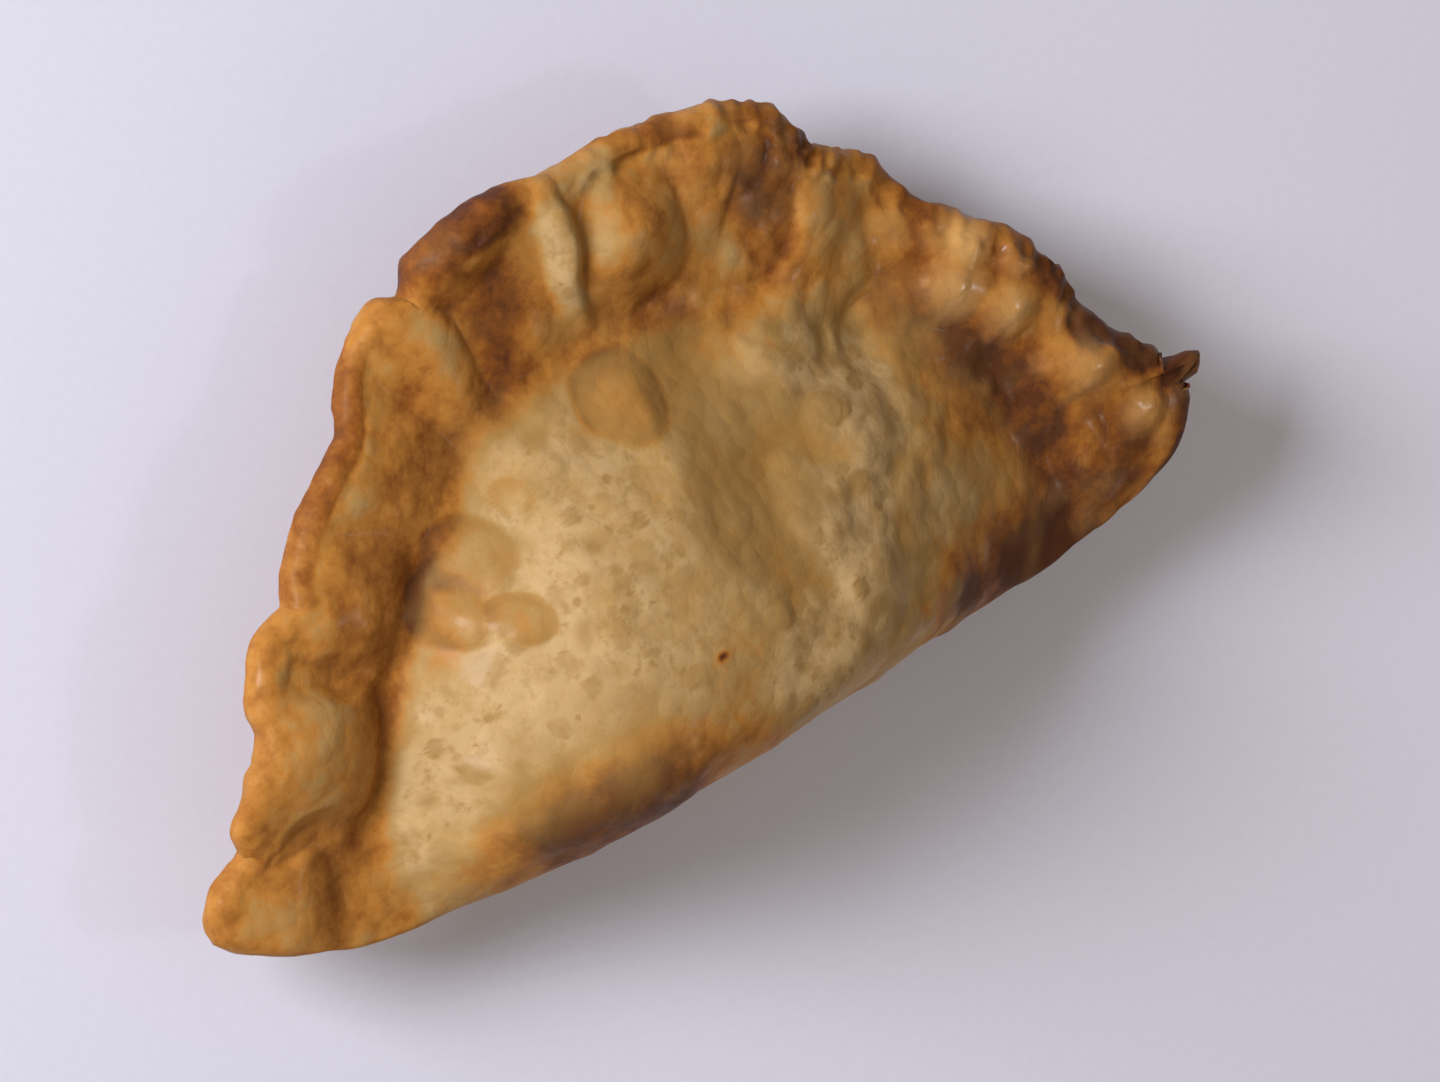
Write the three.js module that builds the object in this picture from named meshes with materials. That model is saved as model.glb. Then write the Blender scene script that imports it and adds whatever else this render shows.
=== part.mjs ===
// Sambusak: a round of dough folded over its filling, pinched shut along the rim and fried until it
// blisters. One solid, in millimetres with +Z up. It lies on its back with its shown face up: the fold
// runs along X on the -Y side, the pinched rim curves round on the +Y side, and the origin is under the
// middle of its box.
import * as THREE from "three";
import { mergeVertices } from "three/addons/utils/BufferGeometryUtils.js";

// Driving dimensions
const LENGTH = 120; // tip to tip, along the fold
const DEPTH = 61.2; // from the fold to the top of the rim
const EDGE = 3.4; // thickness of the two pinched layers at the outermost edge
const SHOWN_BELLY = 16; // rise of the filled belly over the seam, on the shown face
const BACK_BELLY = 12.5; // the same on the back, before it flattens on the table
const FLATTENED = 3.2; // how much of the back's belly the table presses flat
const RIM_WIDTH = 12; // the pinched band between the edge and the belly
const RIM_SOFTNESS = 0.16; // share of the belly's run over which it lifts off the rim
const SHOWN_NOSE = 8; // length over which the shown face's belly climbs from the fold
const BACK_NOSE = 22; // the same on the back
const FOLD_BOW = 2.2; // how far the middle of the fold bows outwards
const TIP_RISE = 7; // height of the tips over the chord of the fold
const SHOULDER_PULL = 0.11; // share by which the shoulders of the half-moon are pulled in
const SEAM_WAVE = 1.5; // how far the rim waves up and down

// Proportions of the half-moon. Angles are degrees along the arc from the right tip.
const TIP_TURN = 15; // angle over which the pull of a shoulder sets in after its tip
const APEX_FROM = 54; // angle from the tip at which the pull starts to end
const APEX_TURN = 14; // angle over which it ends
const FOLD_BULGE = 0.2; // share of the edge's rounding that the fold keeps
const FOLD_END = 0.85; // share of the half fold after which the whole rounding comes back
const LEFT_CURL = 7; // power with which the fold curls up to the left tip
const RIGHT_CURL = 10; // the same to the right tip
const TIP_FLAT = 3.5; // how much further the belly stays away from the tips than from the arc
const BELLY_X = -16; // where the belly is highest
const BELLY_PULL = 0.23; // share by which the belly's outline is pulled in round one shoulder
const PULL_AT = 127; // angle of that pull
const PULL_HALF = 58; // half of the angle that it covers
const RIM_LIFT = 1.2; // how far the rim curls up
const LEVEL_AT = 84; // angle at which it curls up least
const LEVEL_HALF = 48; // half of the angle that this covers
const LEVEL_SHARE = 0.65; // share of the curl that is missing there
const LIFT_RUN = 1.4; // how far in the curl reaches, in widths of the rim
const WAVE_RUN = 2; // the same for the rim's wave
const PINCH_FADE = 4; // distance from the edge over which a pinch sets in
const CAP_POWER = 1.25; // power of a blister's cap: 1 ends in a crisp border, 1.5 in a soft one
const DOME_POWER = 1.5; // the same for pockets, pinches and lobes

// Waves of the rim: how many in a full turn, where they start, and their share.
const RIM_WAVES = [
  { turns: 5, start: 40, share: 1 },
  { turns: 11, start: 100, share: 0.6 },
];

// Facets
const SHEET_CELLS = 46;
const EDGE_CELLS = 4;
const SPREAD = 0.3; // how much larger the cells are in the middle of the face
const OUTLINE_STEP = 0.01; // step along the outline that gives its direction
const SIDE_TURN = 60; // angle of the arc that each of the block's three free sides covers
const CENTRE_Y = 22; // middle of the face, from which the cells spread

// The seam line lies inside the rounded edge, so the half-moon is drawn that much smaller.
const HALF_LENGTH = (LENGTH - EDGE) / 2;
const ARC_HEIGHT = DEPTH - (EDGE / 2) * (1 + FOLD_BULGE) - FOLD_BOW - TIP_RISE;
const TABLE = -(EDGE / 2 + BACK_BELLY - FLATTENED);

// Air pockets in the shown rim: angle, inset of the crest from the edge, half size along the rim, half
// sizes across it outwards and inwards, and rise.
const pocket = (at, inset, along, outer, inner, rise) => ({ at, inset, along, outer, inner, rise });
const SHOWN_POCKETS = [
  pocket(182, 6.5, 7.6, 9, 6.5, 2.2),
  pocket(163, 7, 12, 9.5, 7, 2.4),
  pocket(143, 6.5, 9.5, 9, 7.5, 1.9),
  pocket(127, 6, 10, 8.5, 8.5, 1),
  pocket(112, 6, 4.6, 8, 13, 1.7),
  pocket(103, 1.5, 8, 4, 4.5, 2),
  pocket(93, 6.5, 2.3, 8, 8.5, 1.9),
  pocket(83.5, 8.5, 7.4, 7.5, 7.5, 3),
  pocket(74, 5, 4, 7, 8, 0.8),
  pocket(56, 5, 6.2, 6.5, 14, 1.5),
  pocket(50, 9, 5.5, 7, 6, 1.2),
  pocket(41, 2.6, 9, 4.4, 9, 1),
  pocket(25, 3, 9, 4.6, 9, 1.1),
  pocket(10, 4, 7, 5.4, 8, 1.5),
  pocket(-2, 11, 6, 6, 6, 1.2),
];

// Finger pinches between the pockets, given as the pockets are, with the depth that they press in.
const SHOWN_PINCHES = [
  pocket(173, 5, 2.4, 6, 7, 1.1),
  pocket(152.5, 5, 2.6, 6, 8, 1.4),
  pocket(104, 10, 4.5, 5, 8, 1.2),
  pocket(66, 9, 5, 7, 8, 1.9),
  pocket(43, 12, 4, 5, 6, 1),
  pocket(20, 6, 3, 4, 6, 0.4),
];

// How far lobes of the rim push its edge out and notches pull it in: angle, half of the angle, and push.
const lobe = (at, half, push) => ({ at, half, push });
const EDGE_LOBES = [
  lobe(180, 7, 1),
  lobe(173, 3.5, -1.4),
  lobe(166, 8, 2.4),
  lobe(153.5, 9, 2.4),
  lobe(145, 4, -1),
  lobe(132, 9, 0.8),
  lobe(114, 6, -0.6),
  lobe(108.5, 3, -2),
  lobe(100, 10, 1.8),
  lobe(83, 9, 0.6),
  lobe(71, 8, 1),
  lobe(53, 8, 1.6),
  lobe(40, 9, -1),
  lobe(22, 6, 0.4),
  lobe(0, 9, -0.8),
];

// The scrap of burnt dough that stands off the right tip.
const TIP_SCRAP = lobe(3, 1.1, 4);
const SCRAP_FADE = 16; // power with which the scrap fades out towards the middle of the face
const SCRAP_THIN = 0.6; // share by which the scrap is thinner than the edge
const SCRAP_ROOT = 1.6; // how much wider the thin stretch of the rounded edge is than the scrap
const LOBES_AND_SCRAP = [...EDGE_LOBES, TIP_SCRAP];

// Larger blisters of the shown face, and the belly's dent: place, half sizes and rise.
const blister = (x, y, wide, high, rise) => ({ x, y, wide, high, rise });
const FACE_BLISTERS = [
  blister(-2.6, 36.3, 4.9, 4.5, 0.9),
  blister(3.5, 51, 5.5, 5.5, 0.4),
  blister(-28, 26, 3.6, 4, 0.7),
  blister(-23.2, 23.5, 2.6, 2.6, 0.5),
  blister(-24, 30, 4.2, 4, 0.5),
  blister(-17.5, 33, 2, 1.8, 0.3),
  blister(17, 33, 5.5, 6, 1.1),
  blister(19, 24, 6, 6.5, 1.4),
  blister(9.5, 18, 4.4, 7.5, 1.1),
  blister(12, 10, 5, 6, 1.1),
  blister(5, 4, 7, 5, 0.7),
  blister(25, 20, 5, 5, 0.6),
  blister(-33, 3, 4.5, 4, 0.6),
  blister(46, 9.6, 2.7, 2.7, 0.6),
  blister(41.6, 12, 3.1, 3.1, 0.6),
  blister(36, 21.6, 3.1, 3.1, 0.5),
];
const BELLY_DENT = blister(5.5, 26, 8.5, 18, 1.6);

// Bubbles of thin skin at the right end, given as the blisters are.
const BUBBLES = [
  blister(40, 32.7, 4.2, 4, 1),
  blister(37.2, 28.6, 4.6, 4.2, 0.9),
  blister(41.8, 24.2, 4, 3.8, 0.8),
  blister(48, 15.8, 4.2, 4, 0.9),
  blister(52, 8.5, 3.4, 3.2, 0.7),
  blister(44.2, 28, 2.3, 2.3, 0.5),
  blister(33.6, 36.4, 3, 3, 0.5),
];
const BLISTERS_AND_BUBBLES = [...FACE_BLISTERS, ...BUBBLES];

// The back's pockets are spread evenly along the rim, with uneven sizes.
const BACK_POCKETS = 13;
const BACK_POCKET = pocket(0, 6.5, 6, 5.5, 8.5, 2.6);
const BACK_SIZES = [0.75, 1.25]; // smallest and largest of them, as shares of that one
const BACK_STRAY = 0.6; // share of a step by which they stray along the rim

const { degToRad, radToDeg } = THREE.MathUtils;
const clamp01 = (t) => Math.min(1, Math.max(0, t));
const smooth = (t) => clamp01(t) ** 2 * (3 - 2 * clamp01(t));

// An even draw from 0 to 1 for each whole number, the same on every run.
function chance(k) {
  const wild = Math.sin(k * 12.9898) * 43758.5453;
  return wild - Math.floor(wild);
}

// A round-topped bump: 1 in the middle, 0 from r = 1 outwards.
const dome = (r) => Math.max(0, 1 - r * r) ** DOME_POWER;

// Several heights run together, near the tallest of them: the cube root of the sum of their cubes.
const blended = (bumps, height) => Math.cbrt(bumps.reduce((sum, bump) => sum + height(bump) ** 3, 0));

// How far the edge stands out of the plain half-moon at an angle of the arc.
const edgePush = (degrees, lobes) =>
  lobes.reduce((push, lobe) => push + lobe.push * dome((degrees - lobe.at) / lobe.half), 0);

// The arc: a half ellipse whose shoulders are pulled in, from soon after the tips to short of the apex,
// pushed in and out along its radius by the lobes.
function arcPoint(degrees, lobes = EDGE_LOBES) {
  const angle = degToRad(degrees);
  const fromTip = 90 - Math.abs(degrees - 90);
  const shoulder = smooth(fromTip / TIP_TURN) * (1 - smooth((fromTip - APEX_FROM) / APEX_TURN));
  const pull = 1 - SHOULDER_PULL * shoulder;
  const x = HALF_LENGTH * Math.cos(angle) * pull;
  const y = ARC_HEIGHT * Math.sin(angle) * pull;
  const reach = Math.hypot(x, y);
  const grown = (reach + edgePush(degrees, lobes)) / reach;
  return { x: x * grown, y: TIP_RISE + y * grown };
}

const RIGHT_TIP = arcPoint(0);
const LEFT_TIP = arcPoint(180);

// The fold from the left tip, t = -1, to the right tip, t = 1: level in the middle, turning up at its ends.
function foldPoint(t) {
  const tip = t < 0 ? LEFT_TIP : RIGHT_TIP;
  const curl = t < 0 ? LEFT_CURL : RIGHT_CURL;
  const along = clamp01(Math.abs(t));
  return { x: along * tip.x, y: -FOLD_BOW + (tip.y + FOLD_BOW) * along ** curl };
}

// Height of the fold on the face at each x.
const foldHeight = (x) => foldPoint(Math.sign(x) * Math.abs(x / (x < 0 ? LEFT_TIP.x : RIGHT_TIP.x))).y;

// The outline round the square's sides: the fold on side 0, and the arc on sides 1 to 3 from right to left.
function outlinePoint(round, lobes = LOBES_AND_SCRAP) {
  return round <= 1 ? foldPoint(2 * round - 1) : arcPoint((round - 1) * SIDE_TURN, lobes);
}

// How far round the square's sides the point (a, b) of its boundary lies, from 0 to 4.
function roundSquare(a, b) {
  if (b <= -1) return (a + 1) / 2;
  if (a >= 1) return 1 + (b + 1) / 2;
  if (b >= 1) return 2 + (1 - a) / 2;
  return 3 + (1 - b) / 2;
}

// The angle of (x, y) in degrees, from -90 to 270, so that it runs on past the left tip.
function turnedDegrees(y, x) {
  const degrees = radToDeg(Math.atan2(y, x));
  return degrees < -90 ? degrees + 360 : degrees;
}

// Angle of the arc that a point faces, and its inset from the edge there.
function rimPlace(x, y) {
  const degrees = turnedDegrees((y - TIP_RISE) / ARC_HEIGHT, x / HALF_LENGTH);
  const edge = arcPoint(degrees);
  const reach = Math.hypot(edge.x, edge.y - TIP_RISE);
  return { degrees, inset: reach - Math.hypot(x, y - TIP_RISE) };
}

// How far out on the belly's oval a point lies, 1 where the belly ends. One shoulder is pulled in.
function bellyRadius(x, y) {
  const half = HALF_LENGTH - RIM_WIDTH - TIP_FLAT;
  const across = (x - BELLY_X) / (half - Math.sign(x - BELLY_X) * BELLY_X);
  const up = (y - TIP_RISE) / (ARC_HEIGHT - RIM_WIDTH);
  const pull = BELLY_PULL * dome((turnedDegrees(up, across) - PULL_AT) / PULL_HALF);
  return Math.hypot(across, up) / (1 - pull);
}

// Height of the filled belly, from 0 to 1: an oval dome that lifts softly off the rim, times a rounded
// nose at the fold.
function bellyShare(x, y, noseRun) {
  const climb = clamp01(1 - bellyRadius(x, y));
  const lifted = (climb ** 2 * (1 + RIM_SOFTNESS)) / (climb + RIM_SOFTNESS);
  const nose = clamp01((y - foldHeight(x)) / noseRun);
  return (1 - (1 - lifted) ** 2) * Math.sqrt(1 - (1 - nose) ** 2);
}

// A dome that lies along the rim, at its angle on the arc and its inset from the edge.
function rimBump(x, y, { at, inset, along, outer, inner }) {
  const edge = arcPoint(at);
  const reach = Math.hypot(edge.x, edge.y - TIP_RISE);
  const out = { x: edge.x / reach, y: (edge.y - TIP_RISE) / reach };
  const dx = x - edge.x + inset * out.x;
  const dy = y - edge.y + inset * out.y;
  const across = dx * out.x + dy * out.y;
  return dome(Math.hypot((dx * out.y - dy * out.x) / along, across / (across > 0 ? outer : inner)));
}

// A low cap on the face, at its place and with its half sizes and rise.
const faceBump = (x, y, { x: atX, y: atY, wide, high, rise }) =>
  rise * Math.max(0, 1 - ((x - atX) / wide) ** 2 - ((y - atY) / high) ** 2) ** CAP_POWER;

// The back's pockets, one for each step along the arc, shifted and scaled by even draws.
const backPockets = Array.from({ length: BACK_POCKETS }, (_, k) => {
  const size = THREE.MathUtils.lerp(...BACK_SIZES, chance(2 * k));
  const at = (180 * (k + (1 - BACK_STRAY) / 2 + BACK_STRAY * chance(2 * k + 1))) / BACK_POCKETS;
  const { inset, along, outer, inner, rise } = BACK_POCKET;
  return pocket(at, inset, along * size, outer, inner * size, rise * size);
});

// Thickness over the seam on the shown face: half the edge, belly, pockets and blisters, less what is
// pressed in.
function shownThickness(x, y, { inset }) {
  const belly = SHOWN_BELLY * bellyShare(x, y, SHOWN_NOSE);
  const raised = blended(SHOWN_POCKETS, (p) => p.rise * rimBump(x, y, p));
  const pinched = blended(SHOWN_PINCHES, (p) => p.rise * rimBump(x, y, p));
  const blistered = blended(BLISTERS_AND_BUBBLES, (b) => faceBump(x, y, b));
  const pressed = pinched * smooth(inset / PINCH_FADE) + faceBump(x, y, BELLY_DENT);
  return EDGE / 2 + Math.max(0, belly + raised + blistered - pressed);
}

// Thickness under the seam on the back.
function backThickness(x, y) {
  const belly = BACK_BELLY * bellyShare(x, y, BACK_NOSE);
  return EDGE / 2 + belly + blended(backPockets, (p) => p.rise * rimBump(x, y, p));
}

// The seam's own height: the rim curls up and waves, and the belly under it lies level.
function seamHeight({ degrees, inset }) {
  const sine = ({ turns, start, share }) => share * Math.sin(degToRad(turns * degrees + start));
  const wave = RIM_WAVES.reduce((sum, rimWave) => sum + sine(rimWave), 0);
  const level = 1 - LEVEL_SHARE * dome((degrees - LEVEL_AT) / LEVEL_HALF);
  const lift = RIM_LIFT * level * (1 - smooth(inset / (LIFT_RUN * RIM_WIDTH)));
  return lift + SEAM_WAVE * wave * (1 - smooth(inset / (WAVE_RUN * RIM_WIDTH)));
}

// Nearness to the scrap at the tip, from 0 to 1, within a number of its half widths.
const scrapShare = (round, widths) =>
  dome(((round - 1) * SIDE_TURN - TIP_SCRAP.at) / (widths * TIP_SCRAP.half));

// How far the rounded edge stands out: half its thickness round the arc, and less at the scrap and along
// the fold.
function edgeBulge(round) {
  if (round >= 1) return (EDGE / 2) * (1 - SCRAP_THIN * scrapShare(round, SCRAP_ROOT));
  const toTip = smooth((Math.abs(2 * round - 1) - FOLD_END) / (1 - FOLD_END));
  return (EDGE / 2) * (FOLD_BULGE + (1 - FOLD_BULGE) * toTip);
}

// A point of the square block carried to the pastry: (a, b) goes to its place on the half-moon, and c runs
// from the back, -1, round the edge to the shown face, 1.
function pastryPoint(a, b, c) {
  const ring = Math.max(Math.abs(a), Math.abs(b));
  const round = ring > 0 ? roundSquare(a / ring, b / ring) : 0;
  const plain = outlinePoint(round, EDGE_LOBES);
  const edge = outlinePoint(round);
  const spread = ring * (1 + SPREAD - SPREAD * ring);
  const x = spread * plain.x + ring ** SCRAP_FADE * (edge.x - plain.x);
  const y = CENTRE_Y + spread * (plain.y - CENTRE_Y) + ring ** SCRAP_FADE * (edge.y - plain.y);
  const place = rimPlace(x, y);
  const seam = seamHeight(place);
  const thin = 1 - SCRAP_THIN * ring ** SCRAP_FADE * scrapShare(round, 1);
  const shown = seam + thin * shownThickness(x, y, place);
  const back = Math.max(TABLE, seam - thin * backThickness(x, y));
  if (Math.abs(c) === 1) return [x, y, c > 0 ? shown : back];

  // Round the edge: an arc from the back's rim to the shown one, standing out at right angles to the outline.
  const turn = (c * Math.PI) / 2;
  const before = outlinePoint((round + 4 - OUTLINE_STEP) % 4);
  const after = outlinePoint((round + OUTLINE_STEP) % 4);
  const step = Math.hypot(after.x - before.x, after.y - before.y);
  const bulge = Math.cos(turn) * edgeBulge(round);
  return [
    x + (bulge * (after.y - before.y)) / step,
    y - (bulge * (after.x - before.x)) / step,
    (shown + back) / 2 + (Math.sin(turn) * (shown - back)) / 2,
  ];
}

// The whole pastry, from a block of cells whose points are carried over one by one.
function pastryGeometry() {
  const block = new THREE.BoxGeometry(2, 2, 2, SHEET_CELLS, SHEET_CELLS, EDGE_CELLS);
  block.deleteAttribute("normal");
  block.deleteAttribute("uv");
  const geometry = mergeVertices(block);
  const points = geometry.getAttribute("position");
  for (let i = 0; i < points.count; i++) {
    points.setXYZ(i, ...pastryPoint(points.getX(i), points.getY(i), points.getZ(i)));
  }
  geometry.computeBoundingBox();
  const { min, max } = geometry.boundingBox;
  geometry.translate(-(min.x + max.x) / 2, -(min.y + max.y) / 2, -min.z);
  geometry.computeVertexNormals();
  return geometry;
}

const friedDough = new THREE.MeshStandardMaterial({ color: 0xc08a45, roughness: 0.55, metalness: 0 });

const sambusak = new THREE.Mesh(pastryGeometry(), friedDough);
sambusak.name = "sambusak";

const part = new THREE.Group();
part.add(sambusak);

export default part;
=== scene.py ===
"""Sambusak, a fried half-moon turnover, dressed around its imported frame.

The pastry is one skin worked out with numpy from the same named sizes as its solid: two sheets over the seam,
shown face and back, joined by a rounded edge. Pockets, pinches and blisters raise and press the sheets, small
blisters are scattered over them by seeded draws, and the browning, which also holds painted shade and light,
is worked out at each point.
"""
from collections import namedtuple
from types import SimpleNamespace

import bpy
import numpy as np
from bpy.props import FloatProperty, FloatVectorProperty, IntProperty, PointerProperty
from mathutils import Matrix, Vector


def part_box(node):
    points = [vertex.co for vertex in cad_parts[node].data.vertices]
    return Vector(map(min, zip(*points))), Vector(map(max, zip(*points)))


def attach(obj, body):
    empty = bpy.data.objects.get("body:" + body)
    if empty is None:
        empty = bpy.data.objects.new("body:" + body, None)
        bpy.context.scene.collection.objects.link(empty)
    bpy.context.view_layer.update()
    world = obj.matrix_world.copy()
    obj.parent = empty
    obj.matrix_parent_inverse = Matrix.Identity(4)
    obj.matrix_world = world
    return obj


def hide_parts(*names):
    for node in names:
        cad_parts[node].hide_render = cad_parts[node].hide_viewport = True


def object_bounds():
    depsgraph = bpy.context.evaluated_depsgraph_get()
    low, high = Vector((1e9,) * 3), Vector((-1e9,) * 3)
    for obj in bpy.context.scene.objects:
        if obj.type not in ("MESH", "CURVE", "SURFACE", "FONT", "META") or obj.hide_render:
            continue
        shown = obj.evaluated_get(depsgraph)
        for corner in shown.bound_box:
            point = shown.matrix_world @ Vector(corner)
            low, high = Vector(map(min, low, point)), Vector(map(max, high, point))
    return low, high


bl_info = {
    "name": "Sambusak",
    "version": (1, 0, 0),
    "blender": (4, 5, 0),
    "location": "View3D > Sidebar > Sambusak",
    "description": "Makes a fried half-moon turnover with a pinched, blistered rim, and its table and light",
    "category": "Add Mesh",
}

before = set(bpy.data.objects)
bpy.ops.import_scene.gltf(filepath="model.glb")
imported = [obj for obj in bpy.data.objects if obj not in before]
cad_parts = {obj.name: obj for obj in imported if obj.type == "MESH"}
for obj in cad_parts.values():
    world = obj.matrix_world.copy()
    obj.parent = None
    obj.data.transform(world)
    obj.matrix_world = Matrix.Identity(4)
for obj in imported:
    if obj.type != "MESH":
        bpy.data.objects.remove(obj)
CAD_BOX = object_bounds()

NODE = "sambusak"
MM = 0.001

# Cells of the solid's own skin
SOLID_CELLS = 46
SOLID_EDGE_CELLS = 4

# Outline of the half-moon, as in the solid: millimetres, degrees along the arc, and shares
CENTRE_Y = 22
HALF_TURN = 180
SIDE_TURN = 60
TIP_TURN = 15
APEX_FROM = 54
APEX_TURN = 14
FOLD_BULGE = 0.2
FOLD_END = 0.85
FOLD_CURL_LEFT = 7
FOLD_CURL_RIGHT = 10
SPREAD = 0.3
OUTLINE_STEP = 0.01

# Powers of the domes of pockets, pinches and lobes, and of the blisters' lower caps
DOME_POWER = 1.5
CAP_POWER = 1.25

# The belly's oval: how far it ends from the tips, its middle, and how far it is pulled in at one shoulder
TIP_FLAT = 3.5
BELLY_X = -16
BELLY_PULL = 0.23
PULL_AT = 127
PULL_HALF = 58

# The rim's lift, the stretch where it lies more level, and how far in lift, waves and pinches reach
RIM_LIFT = 1.2
LEVEL_AT = 84
LEVEL_HALF = 48
LEVEL_SHARE = 0.65
LIFT_RUN = 1.4
WAVE_RUN = 2
PINCH_FADE = 4

# Waves of the rim: how many in a full turn, where they start, and their share
RimWave = namedtuple("RimWave", "turns start share")
RIM_WAVES = (RimWave(5, 40, 1), RimWave(11, 100, 0.6))

# The scrap at the tip: the power by which it fades towards the middle of the face, the share by which it is
# thinner than the edge, and how much wider than it the thin stretch of edge and its dark tone are
SCRAP_FADE = 16
SCRAP_THIN = 0.6
SCRAP_ROOT = 1.6
SCRAP_TONE = 1.5

# How far the dressed skin's relief strays from the solid's
STRAY = 0.9

# Even draws: the step and the scale of the sine. The noise's lattice: its shift for each seed, and the
# strides that tell its corners apart
CHANCE_STEP = 12.9898
CHANCE_SCALE = 43758.5453
LATTICE_SHIFT = 0.37
LATTICE_STRIDES = (1.0, 57.31, 113.97)

# The least value that something is divided by
TINY = 1e-9

# Painted shade in each crease and a painted highlight on each crest: rounds of averaging that tell them from
# their surroundings, how much browner a millimetre of depth is, and the most that it can be
CreaseShade = namedtuple("CreaseShade", "rounds share limit")
PAINTED_CREASE_SHADES = (
    CreaseShade(80, 0.1, 0.05),
    CreaseShade(12, 0.35, 0.045),
)

# The width that the render shows, in metres, the spot of the face in its middle, in millimetres, and the
# view's directions, back to the camera and up
FRAME_WIDTH = 0.1386
AIM_ON_FACE = (5.2, 16.6)
VIEW_BACK = (-0.469, 0.327, 0.821)
VIEW_UP = (0.438, 0.893, -0.105)

# Air pockets in the rim, in millimetres: angle along the arc from the right tip, inset of the crest from the
# edge, half size along the rim, half sizes across it outwards and inwards, and rise
Pocket = namedtuple("Pocket", "at inset along outer inner rise")
SHOWN_POCKETS = (
    Pocket(182, 6.5, 7.6, 9, 6.5, 2.2),
    Pocket(163, 7, 12, 9.5, 7, 2.4),
    Pocket(143, 6.5, 9.5, 9, 7.5, 1.9),
    Pocket(127, 6, 10, 8.5, 8.5, 1),
    Pocket(112, 6, 4.6, 8, 13, 1.7),
    Pocket(103, 1.5, 8, 4, 4.5, 2),
    Pocket(93, 6.5, 2.3, 8, 8.5, 1.9),
    Pocket(83.5, 8.5, 7.4, 7.5, 7.5, 3),
    Pocket(74, 5, 4, 7, 8, 0.8),
    Pocket(56, 5, 6.2, 6.5, 14, 1.5),
    Pocket(50, 9, 5.5, 7, 6, 1.2),
    Pocket(41, 2.6, 9, 4.4, 9, 1),
    Pocket(25, 3, 9, 4.6, 9, 1.1),
    Pocket(10, 4, 7, 5.4, 8, 1.5),
    Pocket(-2, 11, 6, 6, 6, 1.2),
)

# How far lobes of the rim push its edge out and notches pull it in: angle, half width in degrees, and push
Lobe = namedtuple("Lobe", "at half push")
EDGE_LOBES = (
    Lobe(180, 7, 1),
    Lobe(173, 3.5, -1.4),
    Lobe(166, 8, 2.4),
    Lobe(153.5, 9, 2.4),
    Lobe(145, 4, -1),
    Lobe(132, 9, 0.8),
    Lobe(114, 6, -0.6),
    Lobe(108.5, 3, -2),
    Lobe(100, 10, 1.8),
    Lobe(83, 9, 0.6),
    Lobe(71, 8, 1),
    Lobe(53, 8, 1.6),
    Lobe(40, 9, -1),
    Lobe(22, 6, 0.4),
    Lobe(0, 9, -0.8),
)

# Finger pinches between the pockets, given as the pockets are, with the depth that they press in
SHOWN_PINCHES = (
    Pocket(173, 5, 2.4, 6, 7, 1.1),
    Pocket(152.5, 5, 2.6, 6, 8, 1.4),
    Pocket(104, 10, 4.5, 5, 8, 1.2),
    Pocket(66, 9, 5, 7, 8, 1.9),
    Pocket(43, 12, 4, 5, 6, 1),
    Pocket(20, 6, 3, 4, 6, 0.4),
)

# Larger blisters of the shown face, and the belly's dent, in millimetres: place, half sizes, rise, and how
# much browner they are
Blister = namedtuple("Blister", "x y wide high rise browner")
FACE_BLISTERS = (
    Blister(-2.6, 36.3, 4.9, 4.5, 0.9, 0.54),
    Blister(3.5, 51, 5.5, 5.5, 0.4, 0.16),
    Blister(-28, 26, 3.6, 4, 0.7, 0.36),
    Blister(-23.2, 23.5, 2.6, 2.6, 0.5, 0.48),
    Blister(-24, 30, 4.2, 4, 0.5, 0.36),
    Blister(-17.5, 33, 2, 1.8, 0.3, 0.26),
    Blister(17, 33, 5.5, 6, 1.1, -0.06),
    Blister(19, 24, 6, 6.5, 1.4, -0.06),
    Blister(9.5, 18, 4.4, 7.5, 1.1, -0.08),
    Blister(12, 10, 5, 6, 1.1, -0.08),
    Blister(5, 4, 7, 5, 0.7, 0),
    Blister(25, 20, 5, 5, 0.6, 0.06),
    Blister(-33, 3, 4.5, 4, 0.6, 0.1),
    Blister(46, 9.6, 2.7, 2.7, 0.6, 0.08),
    Blister(41.6, 12, 3.1, 3.1, 0.6, 0.1),
    Blister(36, 21.6, 3.1, 3.1, 0.5, 0.04),
)
BELLY_DENT = Blister(5.5, 26, 8.5, 18, 1.6, 0)

# Bubbles of thin, clear skin at the right end, given as the blisters are, with how strongly their gold shows,
# partly as a painted highlight on their tops
Bubble = namedtuple("Bubble", "x y wide high rise glow")
BUBBLES = (
    Bubble(40, 32.7, 4.2, 4, 1, 0.62),
    Bubble(37.2, 28.6, 4.6, 4.2, 0.9, 0.55),
    Bubble(41.8, 24.2, 4, 3.8, 0.8, 0.5),
    Bubble(48, 15.8, 4.2, 4, 0.9, 0.34),
    Bubble(52, 8.5, 3.4, 3.2, 0.7, 0.36),
    Bubble(44.2, 28, 2.3, 2.3, 0.5, 0.2),
    Bubble(33.6, 36.4, 3, 3, 0.5, 0.2),
)

# The back's pockets: how many, their usual form, their smallest and largest share of it, and the share of a
# step by which they stray along the rim
BACK_POCKETS = 13
BACK_POCKET = Pocket(0, 6.5, 6, 5.5, 8.5, 2.6)
BACK_SIZES = (0.75, 1.25)
BACK_STRAY = 0.6

# The scrap of burnt dough that stands off the right tip
TIP_SCRAP = Lobe(3, 1.1, 4)

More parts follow.
